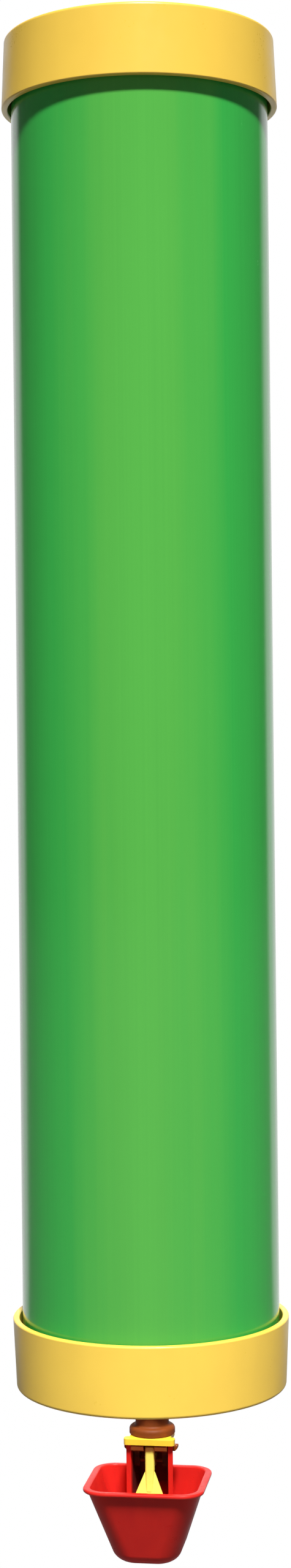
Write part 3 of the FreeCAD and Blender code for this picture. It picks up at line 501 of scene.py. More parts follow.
def extruded_pipe(name, tank, studio):
    """Extruded pipe: a painted sheen of paler, warmer green down the side toward the camera, with long die lines,
    pigment streaks, a slow ripple and light scuffs.
    """
    finish = Finish(name)
    base = tuple(tank.green)
    streaks = finish.noise(70.0, 3.0, 0.55, stretch=(1.0, 1.0, 0.02))
    clouds = finish.noise(9.0, 4.0, 0.55, stretch=(1.0, 1.0, 0.5))
    # Painted sheen: the side of the tube that faces the camera is blended toward the paler, warmer green.
    front = finish.add(finish.along((math.sin(studio.camera_turn), -math.cos(studio.camera_turn), 0.0)),
                       finish.swing(streaks, -3.0 * MM, 3.0 * MM))
    toned = finish.blend(finish.remap(front, 0.76 * TUBE_HIGH.x, 0.97 * TUBE_HIGH.x, 0.0, 1.0), base,
                         tuple(tank.brightened))
    die_lines = finish.noise(900.0, 2.0, 0.5, stretch=(1.0, 1.0, 0.003))
    depth = finish.add(finish.swing(streaks, 0.0, 0.4), finish.swing(clouds, 0.0, 0.3))
    depth = finish.add(depth, finish.swing(die_lines, 0.0, 0.3))
    toned = finish.blend(finish.remap(depth, 0.0, 1.0, 0.20, 0.0), toned, shifted(base, 0.45))
    scuffs = finish.remap(finish.noise(260.0, 4.0, 0.7, stretch=(1.0, 1.0, 0.35)), 0.70, 0.80, 0.0, 0.22)
    finish.colour(finish.blend(scuffs, toned, shifted(base, 1.35, 0.03)))
    worn = finish.add(finish.swing(clouds, 0.12, 0.19), scuffs)
    finish.roughness(finish.add(worn, finish.swing(die_lines, -0.04, 0.04)))
    finish.bump(die_lines, 0.008 * MM, 0.5)
    finish.bump(finish.noise(34.0, 1.0, 0.4, stretch=(1.0, 1.0, 0.35)), 0.12 * MM, 0.5)
    finish.shader.inputs["IOR"].default_value = 1.52
    return finish


def moulded_rubber(name, base):
    """Matt rubber with a fine grain and a grey bloom."""
    finish = Finish(name)
    bloom = finish.remap(finish.noise(160.0, 4.0, 0.6), 0.45, 0.75, 0.0, 0.5)
    finish.colour(finish.blend(bloom, base, shifted(base, 2.4)))
    finish.roughness(finish.swing(finish.noise(420.0, 3.0, 0.6), 0.62, 0.80))
    finish.bump(finish.noise(2600.0, 2.0, 0.6), 0.01 * MM, 0.7)
    return finish


def drawn_steel(name, base):
    """Drawn wire: bright metal with fine lines round it and dull patches."""
    finish = Finish(name)
    patches = finish.noise(500.0, 3.0, 0.6)
    finish.colour(finish.blend(patches, shifted(base, 0.86), shifted(base, 1.08)))
    lines = finish.noise(5200.0, 2.0, 0.5, stretch=(0.05, 1.0, 1.0))
    finish.roughness(finish.add(finish.swing(patches, 0.22, 0.34),
                                finish.swing(lines, -0.04, 0.04)))
    finish.bump(lines, 0.004 * MM, 0.5)
    finish.shader.inputs["Metallic"].default_value = 1.0
    return finish


FINISHES = {}


def finishes(scene):
    """Makes each finish once and gives them by the name of their slot."""
    if not FINISHES:
        tank, cup, valve = scene.waterer_tank, scene.waterer_cup, scene.waterer_valve
        FINISHES["green_pvc"] = extruded_pipe("green pipe", tank, scene.waterer_studio).material
        yellow = moulded_plastic("yellow cap plastic", tank.yellow, 0.34, 0.005, 0.05, 22.0)
        higher_cap_painted_shade(yellow)
        FINISHES["yellow_pvc"] = yellow.material
        red = moulded_plastic("red cup plastic", cup.red, 0.33, 0.004, 0.07, 70.0, 0.2)
        chimney_painted_shade(red, cup)
        FINISHES["red_plastic"] = red.material
        brown = moulded_plastic("brown body plastic", valve.brown, 0.55, 0.004, 0.10, 110.0, 0.2)
        leg_painted_shade(brown)
        FINISHES["brown_plastic"] = brown.material
        for slot, name, tone, gloss, grain, spread in (
                ("clip_plastic", "clip plastic", valve.clip_yellow, 0.38, 0.004, 0.05),
                ("trigger_plastic", "trigger plastic", valve.trigger_yellow, 0.28, 0.003, 0.05),
                ("white_plastic", "strainer plastic", valve.strainer_white, 0.42, 0.004, 0.04)):
            FINISHES[slot] = moulded_plastic(name, tone, gloss, grain, spread, 110.0).material
        FINISHES["black_rubber"] = moulded_rubber("washer rubber", valve.rubber).material
        FINISHES["pin_steel"] = drawn_steel("drawn steel", valve.steel).material
    return FINISHES


def dress_piece(scene, piece, slot, body, node):
    """Gives a finished piece its finish and lets it stand for its CAD node."""
    piece.data.materials.clear()
    piece.data.materials.append(finishes(scene)[slot])
    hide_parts(node)
    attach(piece, body)


def dress_node(scene, node, slot):
    """Gives a CAD node its finish."""
    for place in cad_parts[node].material_slots:
        place.material = finishes(scene)[slot]


# Operators

class WATERER_OT_tube(bpy.types.Operator):
    """Turn the water tube, with its wall and the chamfers of its cut ends"""

    bl_idname = "waterer.tube"
    bl_label = "Water tube"

    def execute(self, context):
        tank = context.scene.waterer_tank
        outer = TUBE_HIGH.x
        low, high, step = TUBE_LOW.z, TUBE_HIGH.z, tank.end_chamfer
        inner = outer - tank.wall
        profile = [(inner, low), (outer - step, low), (outer, low + step), (outer, high - step),
                   (outer - step, high), (inner, high)]
        piece = turned("water_tube", profile, 192)
        soften(piece, 0.12 * MM)
        shade(piece)
        dress_piece(context.scene, piece, "green_pvc", "tank", "tube")
        return {"FINISHED"}


def cap_profile(tank, closed_end, upward, hole):
    """Half section of a cap; upward is 1 where the mouth points up and -1 where it points down."""
    outer = TUBE_HIGH.x
    seat, mouth = outer + tank.cap_seat, outer + tank.cap_mouth
    edge, lip = tank.cap_edge_radius, tank.cap_lip_radius
    height = TOP_CAP_HIGH.z - TOP_CAP_LOW.z
    closed_outer, mouth_outer = seat + tank.cap_skirt, mouth + tank.cap_lip
    inside_round = 0.8 * MM
    profile = [(hole, 0.0)]
    profile += arc((closed_outer - edge, edge), edge, -90, 0, 8)
    profile += arc((mouth_outer - lip, height - lip), lip, 0, 75, 5)
    profile += [(mouth + 0.35 * MM, height), (mouth, height - 0.35 * MM)]
    profile += arc((seat - inside_round, tank.cap_floor + inside_round), inside_round, 0, -90, 3)
    profile += [(hole, tank.cap_floor)]
    return [(radius, closed_end + upward * level) for radius, level in profile]


class WATERER_OT_end_caps(bpy.types.Operator):
    """Turn the washers, shape the nuts that clamp the neck in the bottom cap, and give the CAD strainer its finish"""

    bl_idname = "waterer.end_caps"
    bl_label = "End caps"

    def execute(self, context):
        tank = context.scene.waterer_tank
        for name, node, body, closed_end, upward, hole in (
                ("top_end_cap", "top_cap", "lid", TOP_CAP_HIGH.z, -1, tank.vent_radius),
                ("bottom_end_cap", "bottom_cap", "tank", BOTTOM_CAP_LOW.z, 1, tank.neck_hole)):
            piece = turned(name, cap_profile(tank, closed_end, upward, hole), 192)
            shade(piece)
            dress_piece(context.scene, piece, "yellow_pvc", body, node)
        return {"FINISHED"}


class WATERER_OT_neck_fittings(bpy.types.Operator):
    """Turn the washers and the strainer, and shape the nuts that clamp the neck in the bottom cap"""

    bl_idname = "waterer.neck_fittings"
    bl_label = "Washers, nuts and strainer"

    def execute(self, context):
        scene = context.scene
        hole = scene.waterer_tank.neck_hole
        for node in ("outer_washer", "inner_washer"):
            low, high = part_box(node)
            profile = [(hole, low.z), (high.x, low.z), (high.x, high.z), (hole, high.z)]
            piece = turned(node + "_ring", profile, 64)
            soften(piece, 0.2 * MM, 3)
            shade(piece)
            dress_piece(scene, piece, "black_rubber", "tank", node)
        for node in ("outer_nut", "lock_nut"):
            piece = self.nut(node + "_hexagon", *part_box(node), hole)
            dress_piece(scene, piece, "brown_plastic", "tank", node)
        dress_node(scene, "strainer", "white_plastic")
        return {"FINISHED"}

    def nut(self, name, low, high, hole):
        """Hexagon with its corners turned off, bored for the neck."""
        start_clean()
        bpy.ops.mesh.primitive_cylinder_add(vertices=6, radius=high.x, depth=high.z - low.z,
                                            location=(0, 0, (low.z + high.z) / 2),
                                            rotation=(0, 0, math.radians(30)))
        bpy.ops.object.transform_apply(location=True, rotation=True, scale=True)
        piece = named(name)
        slope = 1.2 * MM
        corner = high.x
        cone = turned("nut_turning", [(0, low.z), (corner - slope, low.z), (corner, low.z + 0.6 * slope),
                                      (corner, high.z - 0.6 * slope), (corner - slope, high.z), (0, high.z)],
                      64, closed=False)
        combine(piece, cone, "INTERSECT")
        cut(piece, rod("nut_bore", hole, low.z - MM, high.z + MM, steps=64))
        soften(piece, 0.25 * MM, 2, 35.0)
        shade(piece)
        return piece


# Height where the neck's thread starts, and the hinge pin's place along Y and Z
THREAD_FOOT = 56.9 * MM
PIVOT = (-3.0 * MM, 38.6 * MM)


def chimney_half(cup, place):
    """Half width of the chimney at a distance along Y."""
    return cup.chimney_half - (cup.chimney_front + place) * math.tan(cup.chimney_taper)


def bore_half(cup, place):
    """Half width inside the chimney's walls."""
    return chimney_half(cup, place) - cup.chimney_wall / math.cos(cup.chimney_taper)


def block_half(cup, place):
    """Half width of what sits in the chimney."""
    return bore_half(cup, place) - cup.block_gap


class WATERER_OT_valve_body(bpy.types.Operator):
    """Model the brown valve body: threaded neck, collar, throat, notched block, legs and snap lugs"""

    bl_idname = "waterer.valve_body"
    bl_label = "Valve body"

    def execute(self, context):
        valve = context.scene.waterer_valve
        piece = self.neck(valve)
        fuse(piece, self.grip(context.scene.waterer_cup))
        cut(piece, rod("seat_bore", 1.7 * MM, 40.0 * MM, 50.0 * MM))
        shade(piece)
        gather(piece, [self.thread(valve)])
        dress_piece(context.scene, piece, "brown_plastic", "tank", "valve_body")
        return {"FINISHED"}

    def neck(self, valve):
        """Turned stretch: throat, collar and the core of the neck, with the water way through it."""
        core = valve.neck_radius - valve.thread_depth
        collar, bend = valve.collar_radius, valve.collar_round
        seat, bore = 48.3 * MM, 4.0 * MM
        foot, collar_low, collar_top = 46.58 * MM, 49.4 * MM, 52.9 * MM
        top = BODY_HIGH.z
        profile = [(0, foot), (valve.throat_radius, foot), (valve.throat_radius, collar_low),
                   (collar - 0.3 * MM, collar_low), (collar, collar_low + 0.3 * MM)]
        profile += arc((collar - bend, collar_top - bend), bend, 0, 90, 6)
        shank, thread_foot = valve.neck_radius - 0.02 * MM, THREAD_FOOT
        hollow = collar - bend - shank
        profile += arc((shank + hollow, collar_top + hollow), hollow, -90, -180, 5)
        profile += [(shank, thread_foot), (core, thread_foot + 0.6 * MM), (core, top - 0.8 * MM),
                    (core - 0.8 * MM, top), (bore, top), (bore, seat), (0, seat)]
        return turned("valve_moulding", profile, 96, closed=False)

    def grip(self, cup):
        """Block that fills the chimney's top, with the trigger's notch, two spring legs and their lugs."""
        front, back = -8.2 * MM, cup.chimney_back - cup.chimney_wall - cup.block_gap
        low, high = 43.3 * MM, 46.6 * MM
        piece = keystone("valve_block", (front, block_half(cup, front)), (back, block_half(cup, back)), low, high)
        soften(piece, 0.25 * MM, 3)
        lip = front - 2.4 * MM
        fuse(piece, keystone("lip", (lip, block_half(cup, -cup.chimney_front)),
                             (front + 0.6 * MM, block_half(cup, front)), 44.5 * MM, high - 0.1 * MM))
        cut(piece, block("notch", (-2.4 * MM, lip - MM, low - MM), (2.4 * MM, front + 3.4 * MM, high + MM)))
        front, back = -5.2 * MM, -0.8 * MM
        inset = 0.04 * MM
        legs = keystone("legs", (front, block_half(cup, front) - inset), (back, block_half(cup, back) - inset),
                        BODY_LOW.z, low + 0.5 * MM)
        inner = block_half(cup, back) - 1.6 * MM
        round_edges(legs, lambda corners: at_level(BODY_LOW.z)(corners) and abs(corners[0].y - corners[1].y) < NEAR,
                    1.6 * MM, 6)
        cut(legs, block("between_legs", (-inner, front - MM, BODY_LOW.z - MM), (inner, back + MM, high)))
        fuse(piece, legs)
        for side in (-1, 1):
            fuse(piece, self.lug(side, inner + 0.8 * MM))
        cut(piece, rod("pivot_bore", 0.92 * MM, -12 * MM, 12 * MM, PIVOT, "X", 24))
        return piece

    def lug(self, side, root):
        """Snap lug with a ramp under its tip."""
        tip, low, high = 11.43 * MM, 43.1 * MM, 45.1 * MM
        x_low, x_high = sorted((side * root, side * tip))
        piece = block("lug", (x_low, -5.0 * MM, low), (x_high, -1.0 * MM, high))
        round_edges(piece, lambda corners: all(abs(point.x - side * tip) < NEAR and point.z < low + NEAR
                                               for point in corners), 1.0 * MM, 1)
        return piece

    def thread(self, valve):
        """Thread of the neck: a tooth's section screwed up the core, with both ends closed."""
        start_clean()
        core = valve.neck_radius - valve.thread_depth
        pitch, low = valve.thread_pitch, THREAD_FOOT
        turns = int((BODY_HIGH.z - 1.9 * MM - low) / pitch) - 1
        piece = first_point("neck_thread")
        bpy.ops.transform.translate(value=(core - 0.15 * MM, 0, low))
        for across, up in ((valve.thread_depth + 0.15 * MM, 0.36 * pitch), (0, 0.12 * pitch),
                           (-valve.thread_depth - 0.15 * MM, 0.36 * pitch)):
            bpy.ops.mesh.extrude_region_move(TRANSFORM_OT_translate={"value": (across, 0, up)})
        bpy.ops.mesh.select_all(action="SELECT")
        bpy.ops.mesh.edge_face_add()
        leave_edit()
        bpy.ops.object.modifier_add(type="SCREW")
        change = piece.modifiers[-1]
        change.screw_offset = pitch
        change.iterations = turns
        change.steps = 48
        change.render_steps = 48
        change.use_merge_vertices = True
        change.merge_threshold = 0.001 * MM
        bpy.ops.object.modifier_apply(modifier=change.name)
        bpy.ops.object.mode_set(mode="EDIT")
        bpy.ops.mesh.select_all(action="SELECT")
        bpy.ops.mesh.remove_doubles(threshold=0.001 * MM)
        bpy.ops.mesh.normals_make_consistent(inside=False)
        leave_edit()
        shade(piece, 50.0)
        return piece


class WATERER_OT_retaining_clip(bpy.types.Operator):
    """Model the yellow fork-shaped clip"""

    bl_idname = "waterer.retaining_clip"
    bl_label = "Retaining clip"

    def execute(self, context):
        valve = context.scene.waterer_valve
        head_back = CLIP_LOW.y + 4.6 * MM
        piece = block("fork_clip", CLIP_LOW, (CLIP_HIGH.x, head_back, CLIP_HIGH.z))
        round_edges(piece, climbing, 1.6 * MM, 6)
        legs = 8.8 * MM
        fuse(piece, block("clip_legs", (-legs, CLIP_LOW.y + 3.2 * MM, CLIP_LOW.z), (legs, CLIP_HIGH.y, CLIP_HIGH.z)))
        throat = valve.throat_radius + 0.1 * MM
        over, under = CLIP_HIGH.z + MM, CLIP_LOW.z - MM
        tool = rod("clip_seat", throat, under, over, steps=64)
        fuse(tool, block("clip_mouth", (-throat, 0, under), (throat, CLIP_HIGH.y + MM, over)))
        cut(piece, tool)
        soften(piece, 0.45 * MM, 3, 50.0)
        shade(piece)
        dress_piece(context.scene, piece, "clip_plastic", "tank", "retaining_clip")
        return {"FINISHED"}


class WATERER_OT_drinking_cup(bpy.types.Operator):
    """Model the red cup: tapered bowl, overhanging rim and the chimney with its window"""

    bl_idname = "waterer.drinking_cup"
    bl_label = "Drinking cup"

    def execute(self, context):
        cup = context.scene.waterer_cup
        rim_low = cup.rim_height - cup.rim_thickness
        piece = self.tapered(cup, "pecking_cup", 0.0, cup.rim_height - cup.rim_round, 0.0,
                             cup.rim_corner - cup.rim_overhang)
        round_edges(piece, at_level(0.0), cup.base_round, 8)
        fuse(piece, self.rim(cup, rim_low))
        cut(piece, self.bowl(cup))
        fuse(piece, self.chimney(cup))
        shade(piece)
        dress_piece(context.scene, piece, "red_plastic", "tank", "drinker_cup")
        return {"FINISHED"}

    def tapered(self, cup, name, low, high, inset, corner):
        """Block inside the cup's outline between two levels, its sides moved in by inset."""
        rim_half = CUP_HIGH.x - cup.rim_overhang
        rim_front = -CUP_LOW.y - cup.rim_overhang

        def half(level):
            return cup.base_half + (rim_half - cup.base_half) * level / cup.rim_height - inset

        def front(level):
            return -(cup.base_front + (rim_front - cup.base_front) * level / cup.rim_height - inset)

        back = cup.chimney_back - inset
        piece = block(name, (-half(high), front(high), low), (half(high), back, high))
        for side in (-1, 1):
            pick(piece, "VERT", lambda corners: corners[0].z < low + NEAR and corners[0].x * side > 0)
            bpy.ops.transform.translate(value=(side * (half(low) - half(high)), 0, 0))
        pick(piece, "VERT", lambda corners: corners[0].z < low + NEAR and corners[0].y < 0)
        bpy.ops.transform.translate(value=(0, front(low) - front(high), 0))
        round_edges(piece, climbing, corner, 10)
        return piece

    def rim(self, cup, low):
        """Flange with round corners and softened edges."""
        piece = block("rim", (CUP_LOW.x, CUP_LOW.y, low), (CUP_HIGH.x, CUP_HIGH.y, cup.rim_height))
        round_edges(piece, climbing, cup.rim_corner, 16)
        round_edges(piece, lambda corners: abs(corners[0].z - corners[1].z) < NEAR, cup.rim_round, 3)
        return piece

    def bowl(self, cup):
        """Hollow of the cup; it opens out over the last stretch, so the rim's inner edge is round."""
        bend = cup.rim_round
        low, high = cup.floor, cup.rim_height - bend
        corner = cup.rim_corner - cup.rim_overhang - cup.wall
        piece = self.tapered(cup, "bowl", low, high, cup.wall, corner)
        round_edges(piece, at_level(low), cup.bowl_round, 6)
        points = [vertex.co for vertex in piece.data.vertices if vertex.co.z > high - NEAR]
        left, right = min(point.x for point in points), max(point.x for point in points)
        near, far = min(point.y for point in points), max(point.y for point in points)
        centre = ((left + right) / 2, (near + far) / 2, high)
        half_x, half_y = (right - left) / 2, (far - near) / 2
        pick(piece, "FACE", at_level(high))
        flare, level = 0.0, 0.0
        for angle in (30, 60, 90):
            rise = bend * math.sin(math.radians(angle))
            spread = bend * (1 - math.cos(math.radians(angle)))
            self.raise_face(rise - level, centre, (half_x + spread) / (half_x + flare),
                            (half_y + spread) / (half_y + flare))
            flare, level = spread, rise
        self.raise_face(MM, centre, 1.0, 1.0)
        leave_edit()
        return piece

    def raise_face(self, rise, centre, across, along):
        """Extrudes the picked face upward and widens it about the centre."""
        bpy.ops.mesh.extrude_region_move(TRANSFORM_OT_translate={"value": (0, 0, rise)})
        bpy.ops.transform.resize(value=(across, along, 1.0), center_override=centre)

    def chimney(self, cup):
        """Chimney that narrows to the back and is open in front, with a slot for each snap lug."""
        front, back = -cup.chimney_front, cup.chimney_back - 0.02 * MM
        foot, top = cup.floor / 2, CUP_HIGH.z
        piece = keystone("chimney", (front, chimney_half(cup, front)), (back, chimney_half(cup, back)), foot, top)
        round_edges(piece, lambda corners: at_level(foot)(corners) and min(point.y for point in corners) > back - NEAR,
                    cup.base_round - foot, 8)
        mouth, end = front - MM, cup.chimney_back - cup.chimney_wall
        cut(piece, keystone("chimney_bore", (mouth, bore_half(cup, mouth)), (end, bore_half(cup, end)), foot - MM,
                            top + MM))
        cut(piece, block("lug_slots", (-12 * MM, -5.5 * MM, 42.8 * MM), (12 * MM, -0.5 * MM, 45.4 * MM)))
        soften(piece, 0.25 * MM, 3, 50.0)
        return piece


class WATERER_OT_trigger(bpy.types.Operator):
    """Model the yellow trigger: stem, rib, hub, heel and the flared paddle"""

    bl_idname = "waterer.trigger"
    bl_label = "Trigger"

    def execute(self, context):
        valve = context.scene.waterer_valve
        half = 2.0 * MM
        face, stem_back = -9.0 * MM, -6.7 * MM
        (pivot_y, pivot_z), flare = PIVOT, 35.4 * MM
        piece = block("pecking_trigger", (-half, face, flare), (half, stem_back, TRIGGER_HIGH.z))
        self.rib(piece, valve, flare)
        round_edges(piece, lambda corners: climbing(corners) and all(point.y < face + 0.6 * MM for point in corners),
                    0.95 * MM, 5)
        soften(piece, 0.2 * MM, 2, 60.0)
        fuse(piece, block("web", (-half, stem_back - 0.5 * MM, pivot_z - 1.7 * MM),
                          (half, pivot_y, pivot_z + 1.7 * MM)))
        fuse(piece, rod("hub", 2.2 * MM, -half, half, (pivot_y, pivot_z), "X"))
        fuse(piece, block("heel", (-half, pivot_y, 39.2 * MM), (half, 0.0, 41.35 * MM)))
        fuse(piece, rod("heel_pad", 1.08 * MM, -half, half, (0.0, 40.3 * MM), "X"))
        fuse(piece, self.paddle(valve, half, face, flare))
        cut(piece, rod("trigger_bore", 0.95 * MM, -3 * MM, 3 * MM, (pivot_y, pivot_z), "X", 32))
        shade(piece, 40.0)
        dress_piece(context.scene, piece, "trigger_plastic", "lever", "trigger")
        return {"FINISHED"}

    def rib(self, piece, valve, flare):
        """Draws the stem's foot out into a rib that runs down the paddle and fades into it."""
        long, lean = 9.0 * MM, valve.paddle_lean
        pick(piece, "FACE", at_level(flare))
        bpy.ops.mesh.extrude_region_move(
            TRANSFORM_OT_translate={"value": (0, -long * math.sin(lean), -long * math.cos(lean))})
        bpy.ops.transform.resize(value=(0.8, 1, 1), center_override=(0, 0, flare - long * math.cos(lean)))
        leave_edit()
        foot = min(vertex.co.z for vertex in piece.data.vertices)
        front = min(vertex.co.y for vertex in piece.data.vertices)
        pick(piece, "VERT", lambda corners: corners[0].z < foot + NEAR and corners[0].y < front + NEAR)
        bpy.ops.transform.translate(value=(0, 0.8 * MM, 0.2 * MM))
        leave_edit()

    def paddle(self, valve, half, face, flare):
        """Plate that flares to its full width, is round at its lower corners and leans forward."""
        wide, low, knee = TRIGGER_HIGH.x, flare - 19.0 * MM, flare - 11.0 * MM
        front, back = face + 0.9 * MM, face + 2.4 * MM
        piece = block("paddle", (-wide, front, low), (wide, back, knee))
        pick(piece, "FACE", at_level(knee))
        bpy.ops.mesh.extrude_region_move(TRANSFORM_OT_translate={"value": (0, 0, flare - knee)})
        bpy.ops.transform.resize(value=(half / wide, 1, 1), center_override=(0, front, flare))
        leave_edit()
        round_edges(piece, lambda corners: corners[0].z < low + NEAR and abs(corners[0].x - corners[1].x) < NEAR
                    and abs(corners[0].z - corners[1].z) < NEAR, 2.5 * MM, 8)
        soften(piece, 0.3 * MM, 3, 50.0)
        pick(piece, "VERT", lambda corners: True)
        bpy.ops.transform.rotate(value=valve.paddle_lean, orient_axis="X", center_override=(0, face, flare))
        leave_edit()
        return piece


class WATERER_OT_valve_parts(bpy.types.Operator):
    """Turn the valve pin, its seal and the hinge pin, and finish the spring"""

    bl_idname = "waterer.valve_parts"
    bl_label = "Valve pin, seal, spring and hinge pin"

    def execute(self, context):
        scene = context.scene
        low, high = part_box("valve_pin")
        shaft, head, shoulder = 1.2 * MM, high.x, 49.5 * MM
        profile = [(0, low.z), (shaft - 0.3 * MM, low.z), (shaft, low.z + 0.3 * MM), (shaft, shoulder),
                   (head, shoulder), (head, high.z - 0.3 * MM), (head - 0.3 * MM, high.z), (0, high.z)]
        piece = turned("lift_pin", profile, 48, closed=False)
        shade(piece)
        dress_piece(scene, piece, "pin_steel", "valve", "valve_pin")

        low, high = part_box("valve_seal")
        profile = [(shaft, low.z), (high.x, low.z), (high.x, high.z), (shaft, high.z)]
        piece = turned("seal_ring", profile, 48)
        soften(piece, 0.15 * MM, 3)
        shade(piece)
        dress_piece(scene, piece, "black_rubber", "valve", "valve_seal")

        low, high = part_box("hinge_pin")
        piece = rod("hinge_rod", (high.z - low.z) / 2, low.x, high.x, ((low.y + high.y) / 2, (low.z + high.z) / 2),
                    "X", 32)
        soften(piece, 0.15 * MM, 2)
        shade(piece)
        dress_piece(scene, piece, "brown_plastic", "tank", "hinge_pin")
        dress_node(scene, "valve_spring", "pin_steel")
        return {"FINISHED"}


# Pieces below the tank, which have a lamp of their own
UNDER_TANK = ("pecking_cup", "valve_moulding", "fork_clip", "pecking_trigger", "hinge_rod", "lift_pin", "seal_ring",
              "outer_nut_hexagon", "outer_washer_ring", "valve_spring")


class WATERER_OT_stage(bpy.types.Operator):
    """Set up the pale floor, the soft light and the camera"""

    bl_idname = "waterer.stage"
    bl_label = "Stage"

    def execute(self, context):
        scene = context.scene
        studio = scene.waterer_studio
        self.floor(studio)
        tank_side = [piece for piece in bpy.data.objects if piece.type == "MESH" and piece.name not in UNDER_TANK]
        cup_side = [bpy.data.objects[name] for name in UNDER_TANK]
        self.lamp(studio, "tank_light", studio.tank_power, studio.tank_lamp, 7.0, 57.0, tank_side, None)
        self.lamp(studio, "cup_light", studio.cup_power, studio.cup_lamp, 7.0, 60.5, cup_side, cup_side)
        rear = self.lamp(studio, "rear_light", studio.rear_power, studio.cup_lamp, 180.0, 15.0, None, None)
        rear.visible_camera = False
        rear.visible_glossy = False
        self.surroundings(scene, studio)
        self.camera(scene, studio)
        scene.view_settings.view_transform = "Standard"
        return {"FINISHED"}

    def between(self, tree, value, low, high, from_low=0.0, from_high=1.0):
        """Output that goes from low to high with the value; low and high are numbers or other outputs."""
        node = tree.nodes.new("ShaderNodeMapRange")
        node.interpolation_type = "SMOOTHSTEP"
        node.inputs["From Min"].default_value = from_low
        node.inputs["From Max"].default_value = from_high
        for name, number in (("To Min", low), ("To Max", high)):
            if isinstance(number, bpy.types.NodeSocket):
                tree.links.new(number, node.inputs[name])
            else:
                node.inputs[name].default_value = number
        tree.links.new(value, node.inputs["Value"])
        return node.outputs["Result"]

    def floor(self, studio):
        """Pale paper under the hanging tube: it keeps the shadow, turns white further away, and is clear from below."""
        start_clean()
        bpy.ops.mesh.primitive_plane_add(size=14.0, location=(0, 0, -0.25))
        bpy.ops.object.transform_apply(location=True, rotation=True, scale=True)
        piece = named("paper_floor")
        material = bpy.data.materials.new("paper")
        material.use_nodes = True
        tree = material.node_tree
        shader = tree.nodes["Principled BSDF"]
        path = tree.nodes.new("ShaderNodeLightPath")
        tone = tree.nodes.new("ShaderNodeCombineColor")
        for channel in tone.inputs:
            tree.links.new(self.between(tree, path.outputs["Is Camera Ray"], studio.bounce, studio.paper), channel)
        tree.links.new(tone.outputs["Color"], shader.inputs["Base Color"])
        shader.inputs["Roughness"].default_value = 0.9
        shader.inputs["Specular IOR Level"].default_value = 0.0
        glow = tree.nodes.new("ShaderNodeEmission")
        glow.inputs["Color"].default_value = (1.0, 1.0, 1.0, 1.0)
        place = tree.nodes.new("ShaderNodeTexCoord").outputs["Object"]
        away, behind = tree.nodes.new("ShaderNodeVectorMath"), tree.nodes.new("ShaderNodeVectorMath")
        away.operation, behind.operation = "LENGTH", "DOT_PRODUCT"
        behind.inputs[1].default_value = ahead(studio)
        for node in (away, behind):
            tree.links.new(place, node.inputs[0])
        seen = self.between(tree, away.outputs["Value"], 0.5, 1.0, 0.2, 0.6)
        straight = tree.nodes.new("ShaderNodeMath")
        straight.operation = "DIVIDE"
        for node, socket in zip((behind, away), straight.inputs):
            tree.links.new(node.outputs["Value"], socket)
        backdrop = self.between(tree, straight.outputs["Value"], 0.0,
                                self.between(tree, behind.outputs["Value"], 0.0, 1.0, 0.9, 1.4), 0.68, 0.80)
        mirrored = self.between(tree, path.outputs["Is Glossy Ray"], 0.0, backdrop)
        mix = tree.nodes.new("ShaderNodeMixShader")
        tree.links.new(self.between(tree, path.outputs["Is Camera Ray"], mirrored, seen), mix.inputs["Fac"])
        tree.links.new(shader.outputs["BSDF"], mix.inputs[1])
        tree.links.new(glow.outputs["Emission"], mix.inputs[2])
        clear = tree.nodes.new("ShaderNodeMixShader")
        tree.links.new(tree.nodes.new("ShaderNodeNewGeometry").outputs["Backfacing"], clear.inputs["Fac"])
        tree.links.new(mix.outputs["Shader"], clear.inputs[1])
        tree.links.new(tree.nodes.new("ShaderNodeBsdfTransparent").outputs["BSDF"], clear.inputs[2])
        tree.links.new(clear.outputs["Shader"], tree.nodes["Material Output"].inputs["Surface"])
        piece.data.materials.append(material)

    def lamp(self, studio, name, power, size, right, above, lit, shading):
        """Soft lamp, right of the camera and above it by two angles, for some pieces alone.

        Without the second lamp the wide tank would keep the light from the cup."""
        start_clean()
        target = Vector((0, 0, 0.33))
        angle, height = studio.camera_turn + math.radians(right), math.radians(above)
        place = target + studio.lamp_reach * Vector((math.sin(angle) * math.cos(height),
                                                     -math.cos(angle) * math.cos(height), math.sin(height)))
        bpy.ops.object.light_add(type="AREA", location=place)
        lamp = bpy.context.view_layer.objects.active
        lamp.name = name
        lamp.data.size = size
        lamp.data.energy = power
        lamp.rotation_euler = (target - place).to_track_quat("-Z", "Y").to_euler()
        linking = lamp.light_linking
        for role, pieces in (("receiver_collection", lit), ("blocker_collection", shading)):
            if pieces:
                group = bpy.data.collections.new("%s %s" % (name, role.split("_")[0]))
                for piece in pieces:
                    group.objects.link(piece)
                setattr(linking, role, group)
        return lamp

    def surroundings(self, scene, studio):
        """White room: a soft fill as light, and in reflections a white backdrop behind a dim room."""
        world = bpy.data.worlds.new("white room")
        scene.world = world
        world.use_nodes = True
        tree = world.node_tree
        ground = tree.nodes["Background"]
        ground.inputs["Color"].default_value = (1.0, 1.0, 1.0, 1.0)
        path = tree.nodes.new("ShaderNodeLightPath")
        mirrored = tree.nodes.new("ShaderNodeMath")
        mirrored.operation = "MAXIMUM"
        tree.links.new(path.outputs["Is Glossy Ray"], mirrored.inputs[0])
        tree.links.new(path.outputs["Is Transmission Ray"], mirrored.inputs[1])
        behind = tree.nodes.new("ShaderNodeVectorMath")
        behind.operation = "DOT_PRODUCT"
        behind.inputs[1].default_value = ahead(studio)
        tree.links.new(tree.nodes.new("ShaderNodeTexCoord").outputs["Generated"], behind.inputs[0])
        backdrop = self.between(tree, behind.outputs["Value"], studio.dim_room, 1.0, 0.68, 0.80)
        light = self.between(tree, mirrored.outputs["Value"], studio.fill, backdrop)
        tree.links.new(self.between(tree, path.outputs["Is Camera Ray"], light, 1.0), ground.inputs["Strength"])

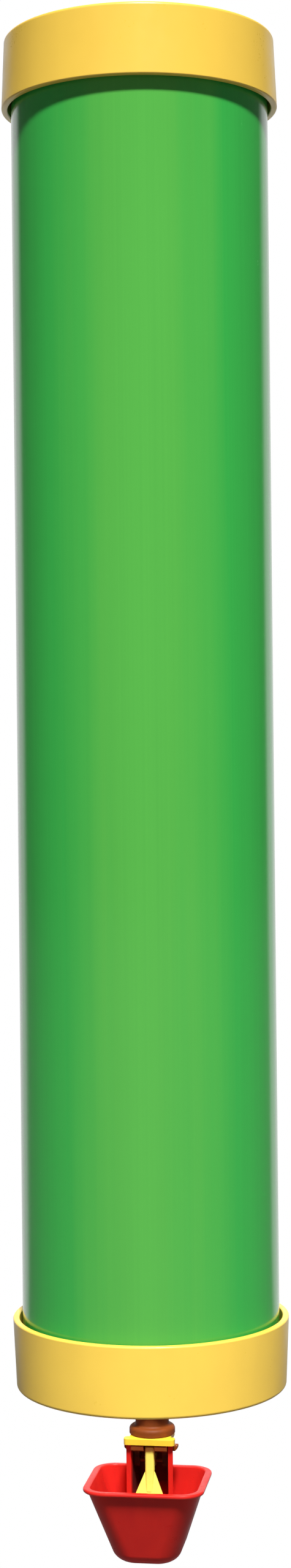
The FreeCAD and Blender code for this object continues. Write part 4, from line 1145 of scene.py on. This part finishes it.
    def camera(self, scene, studio):
        start_clean()
        angle = studio.camera_turn
        place = (math.sin(angle) * studio.camera_distance, -math.cos(angle) * studio.camera_distance,
                 studio.camera_height)
        bpy.ops.object.camera_add(location=place)
        camera = bpy.context.view_layer.objects.active
        camera.name = "picture_camera"
        camera.data.sensor_width = 36.0
        camera.data.lens = studio.focal_length
        camera.data.shift_y = studio.shift
        camera.data.clip_start = 0.05
        level = Euler((math.pi / 2, 0, angle)).to_quaternion()
        camera.rotation_mode = "QUATERNION"
        camera.rotation_quaternion = level @ Quaternion((0, 0, 1), studio.camera_roll)
        scene.camera = camera


OPERATORS = (WATERER_OT_tube, WATERER_OT_end_caps, WATERER_OT_neck_fittings, WATERER_OT_valve_body,
             WATERER_OT_retaining_clip, WATERER_OT_drinking_cup, WATERER_OT_trigger, WATERER_OT_valve_parts,
             WATERER_OT_stage)
SETTINGS = (("waterer_tank", TankSettings), ("waterer_cup", CupSettings), ("waterer_valve", ValveSettings),
            ("waterer_studio", StudioSettings))


class WATERER_PT_panel(bpy.types.Panel):
    """Lists the waterer's settings and the steps that make it"""

    bl_idname = "WATERER_PT_panel"
    bl_label = "Chick Waterer"
    bl_space_type = "VIEW_3D"
    bl_region_type = "UI"
    bl_category = "Waterer"

    def draw(self, context):
        layout = self.layout
        for name, group in SETTINGS:
            box = layout.box()
            settings = getattr(context.scene, name)
            for item in group.__annotations__:
                box.prop(settings, item)
        for operator in OPERATORS:
            layout.operator(operator.bl_idname, text=operator.bl_label)


def register():
    for name, group in SETTINGS:
        bpy.utils.register_class(group)
        setattr(bpy.types.Scene, name, bpy.props.PointerProperty(type=group))
    for operator in OPERATORS:
        bpy.utils.register_class(operator)
    bpy.utils.register_class(WATERER_PT_panel)


def unregister():
    bpy.utils.unregister_class(WATERER_PT_panel)
    for operator in reversed(OPERATORS):
        bpy.utils.unregister_class(operator)
    for name, group in reversed(SETTINGS):
        delattr(bpy.types.Scene, name)
        bpy.utils.unregister_class(group)


def main():
    register()
    for operator in OPERATORS:
        group, name = operator.bl_idname.split(".")
        getattr(getattr(bpy.ops, group), name)()
    start_clean()


if __name__ == "__main__":
    main()
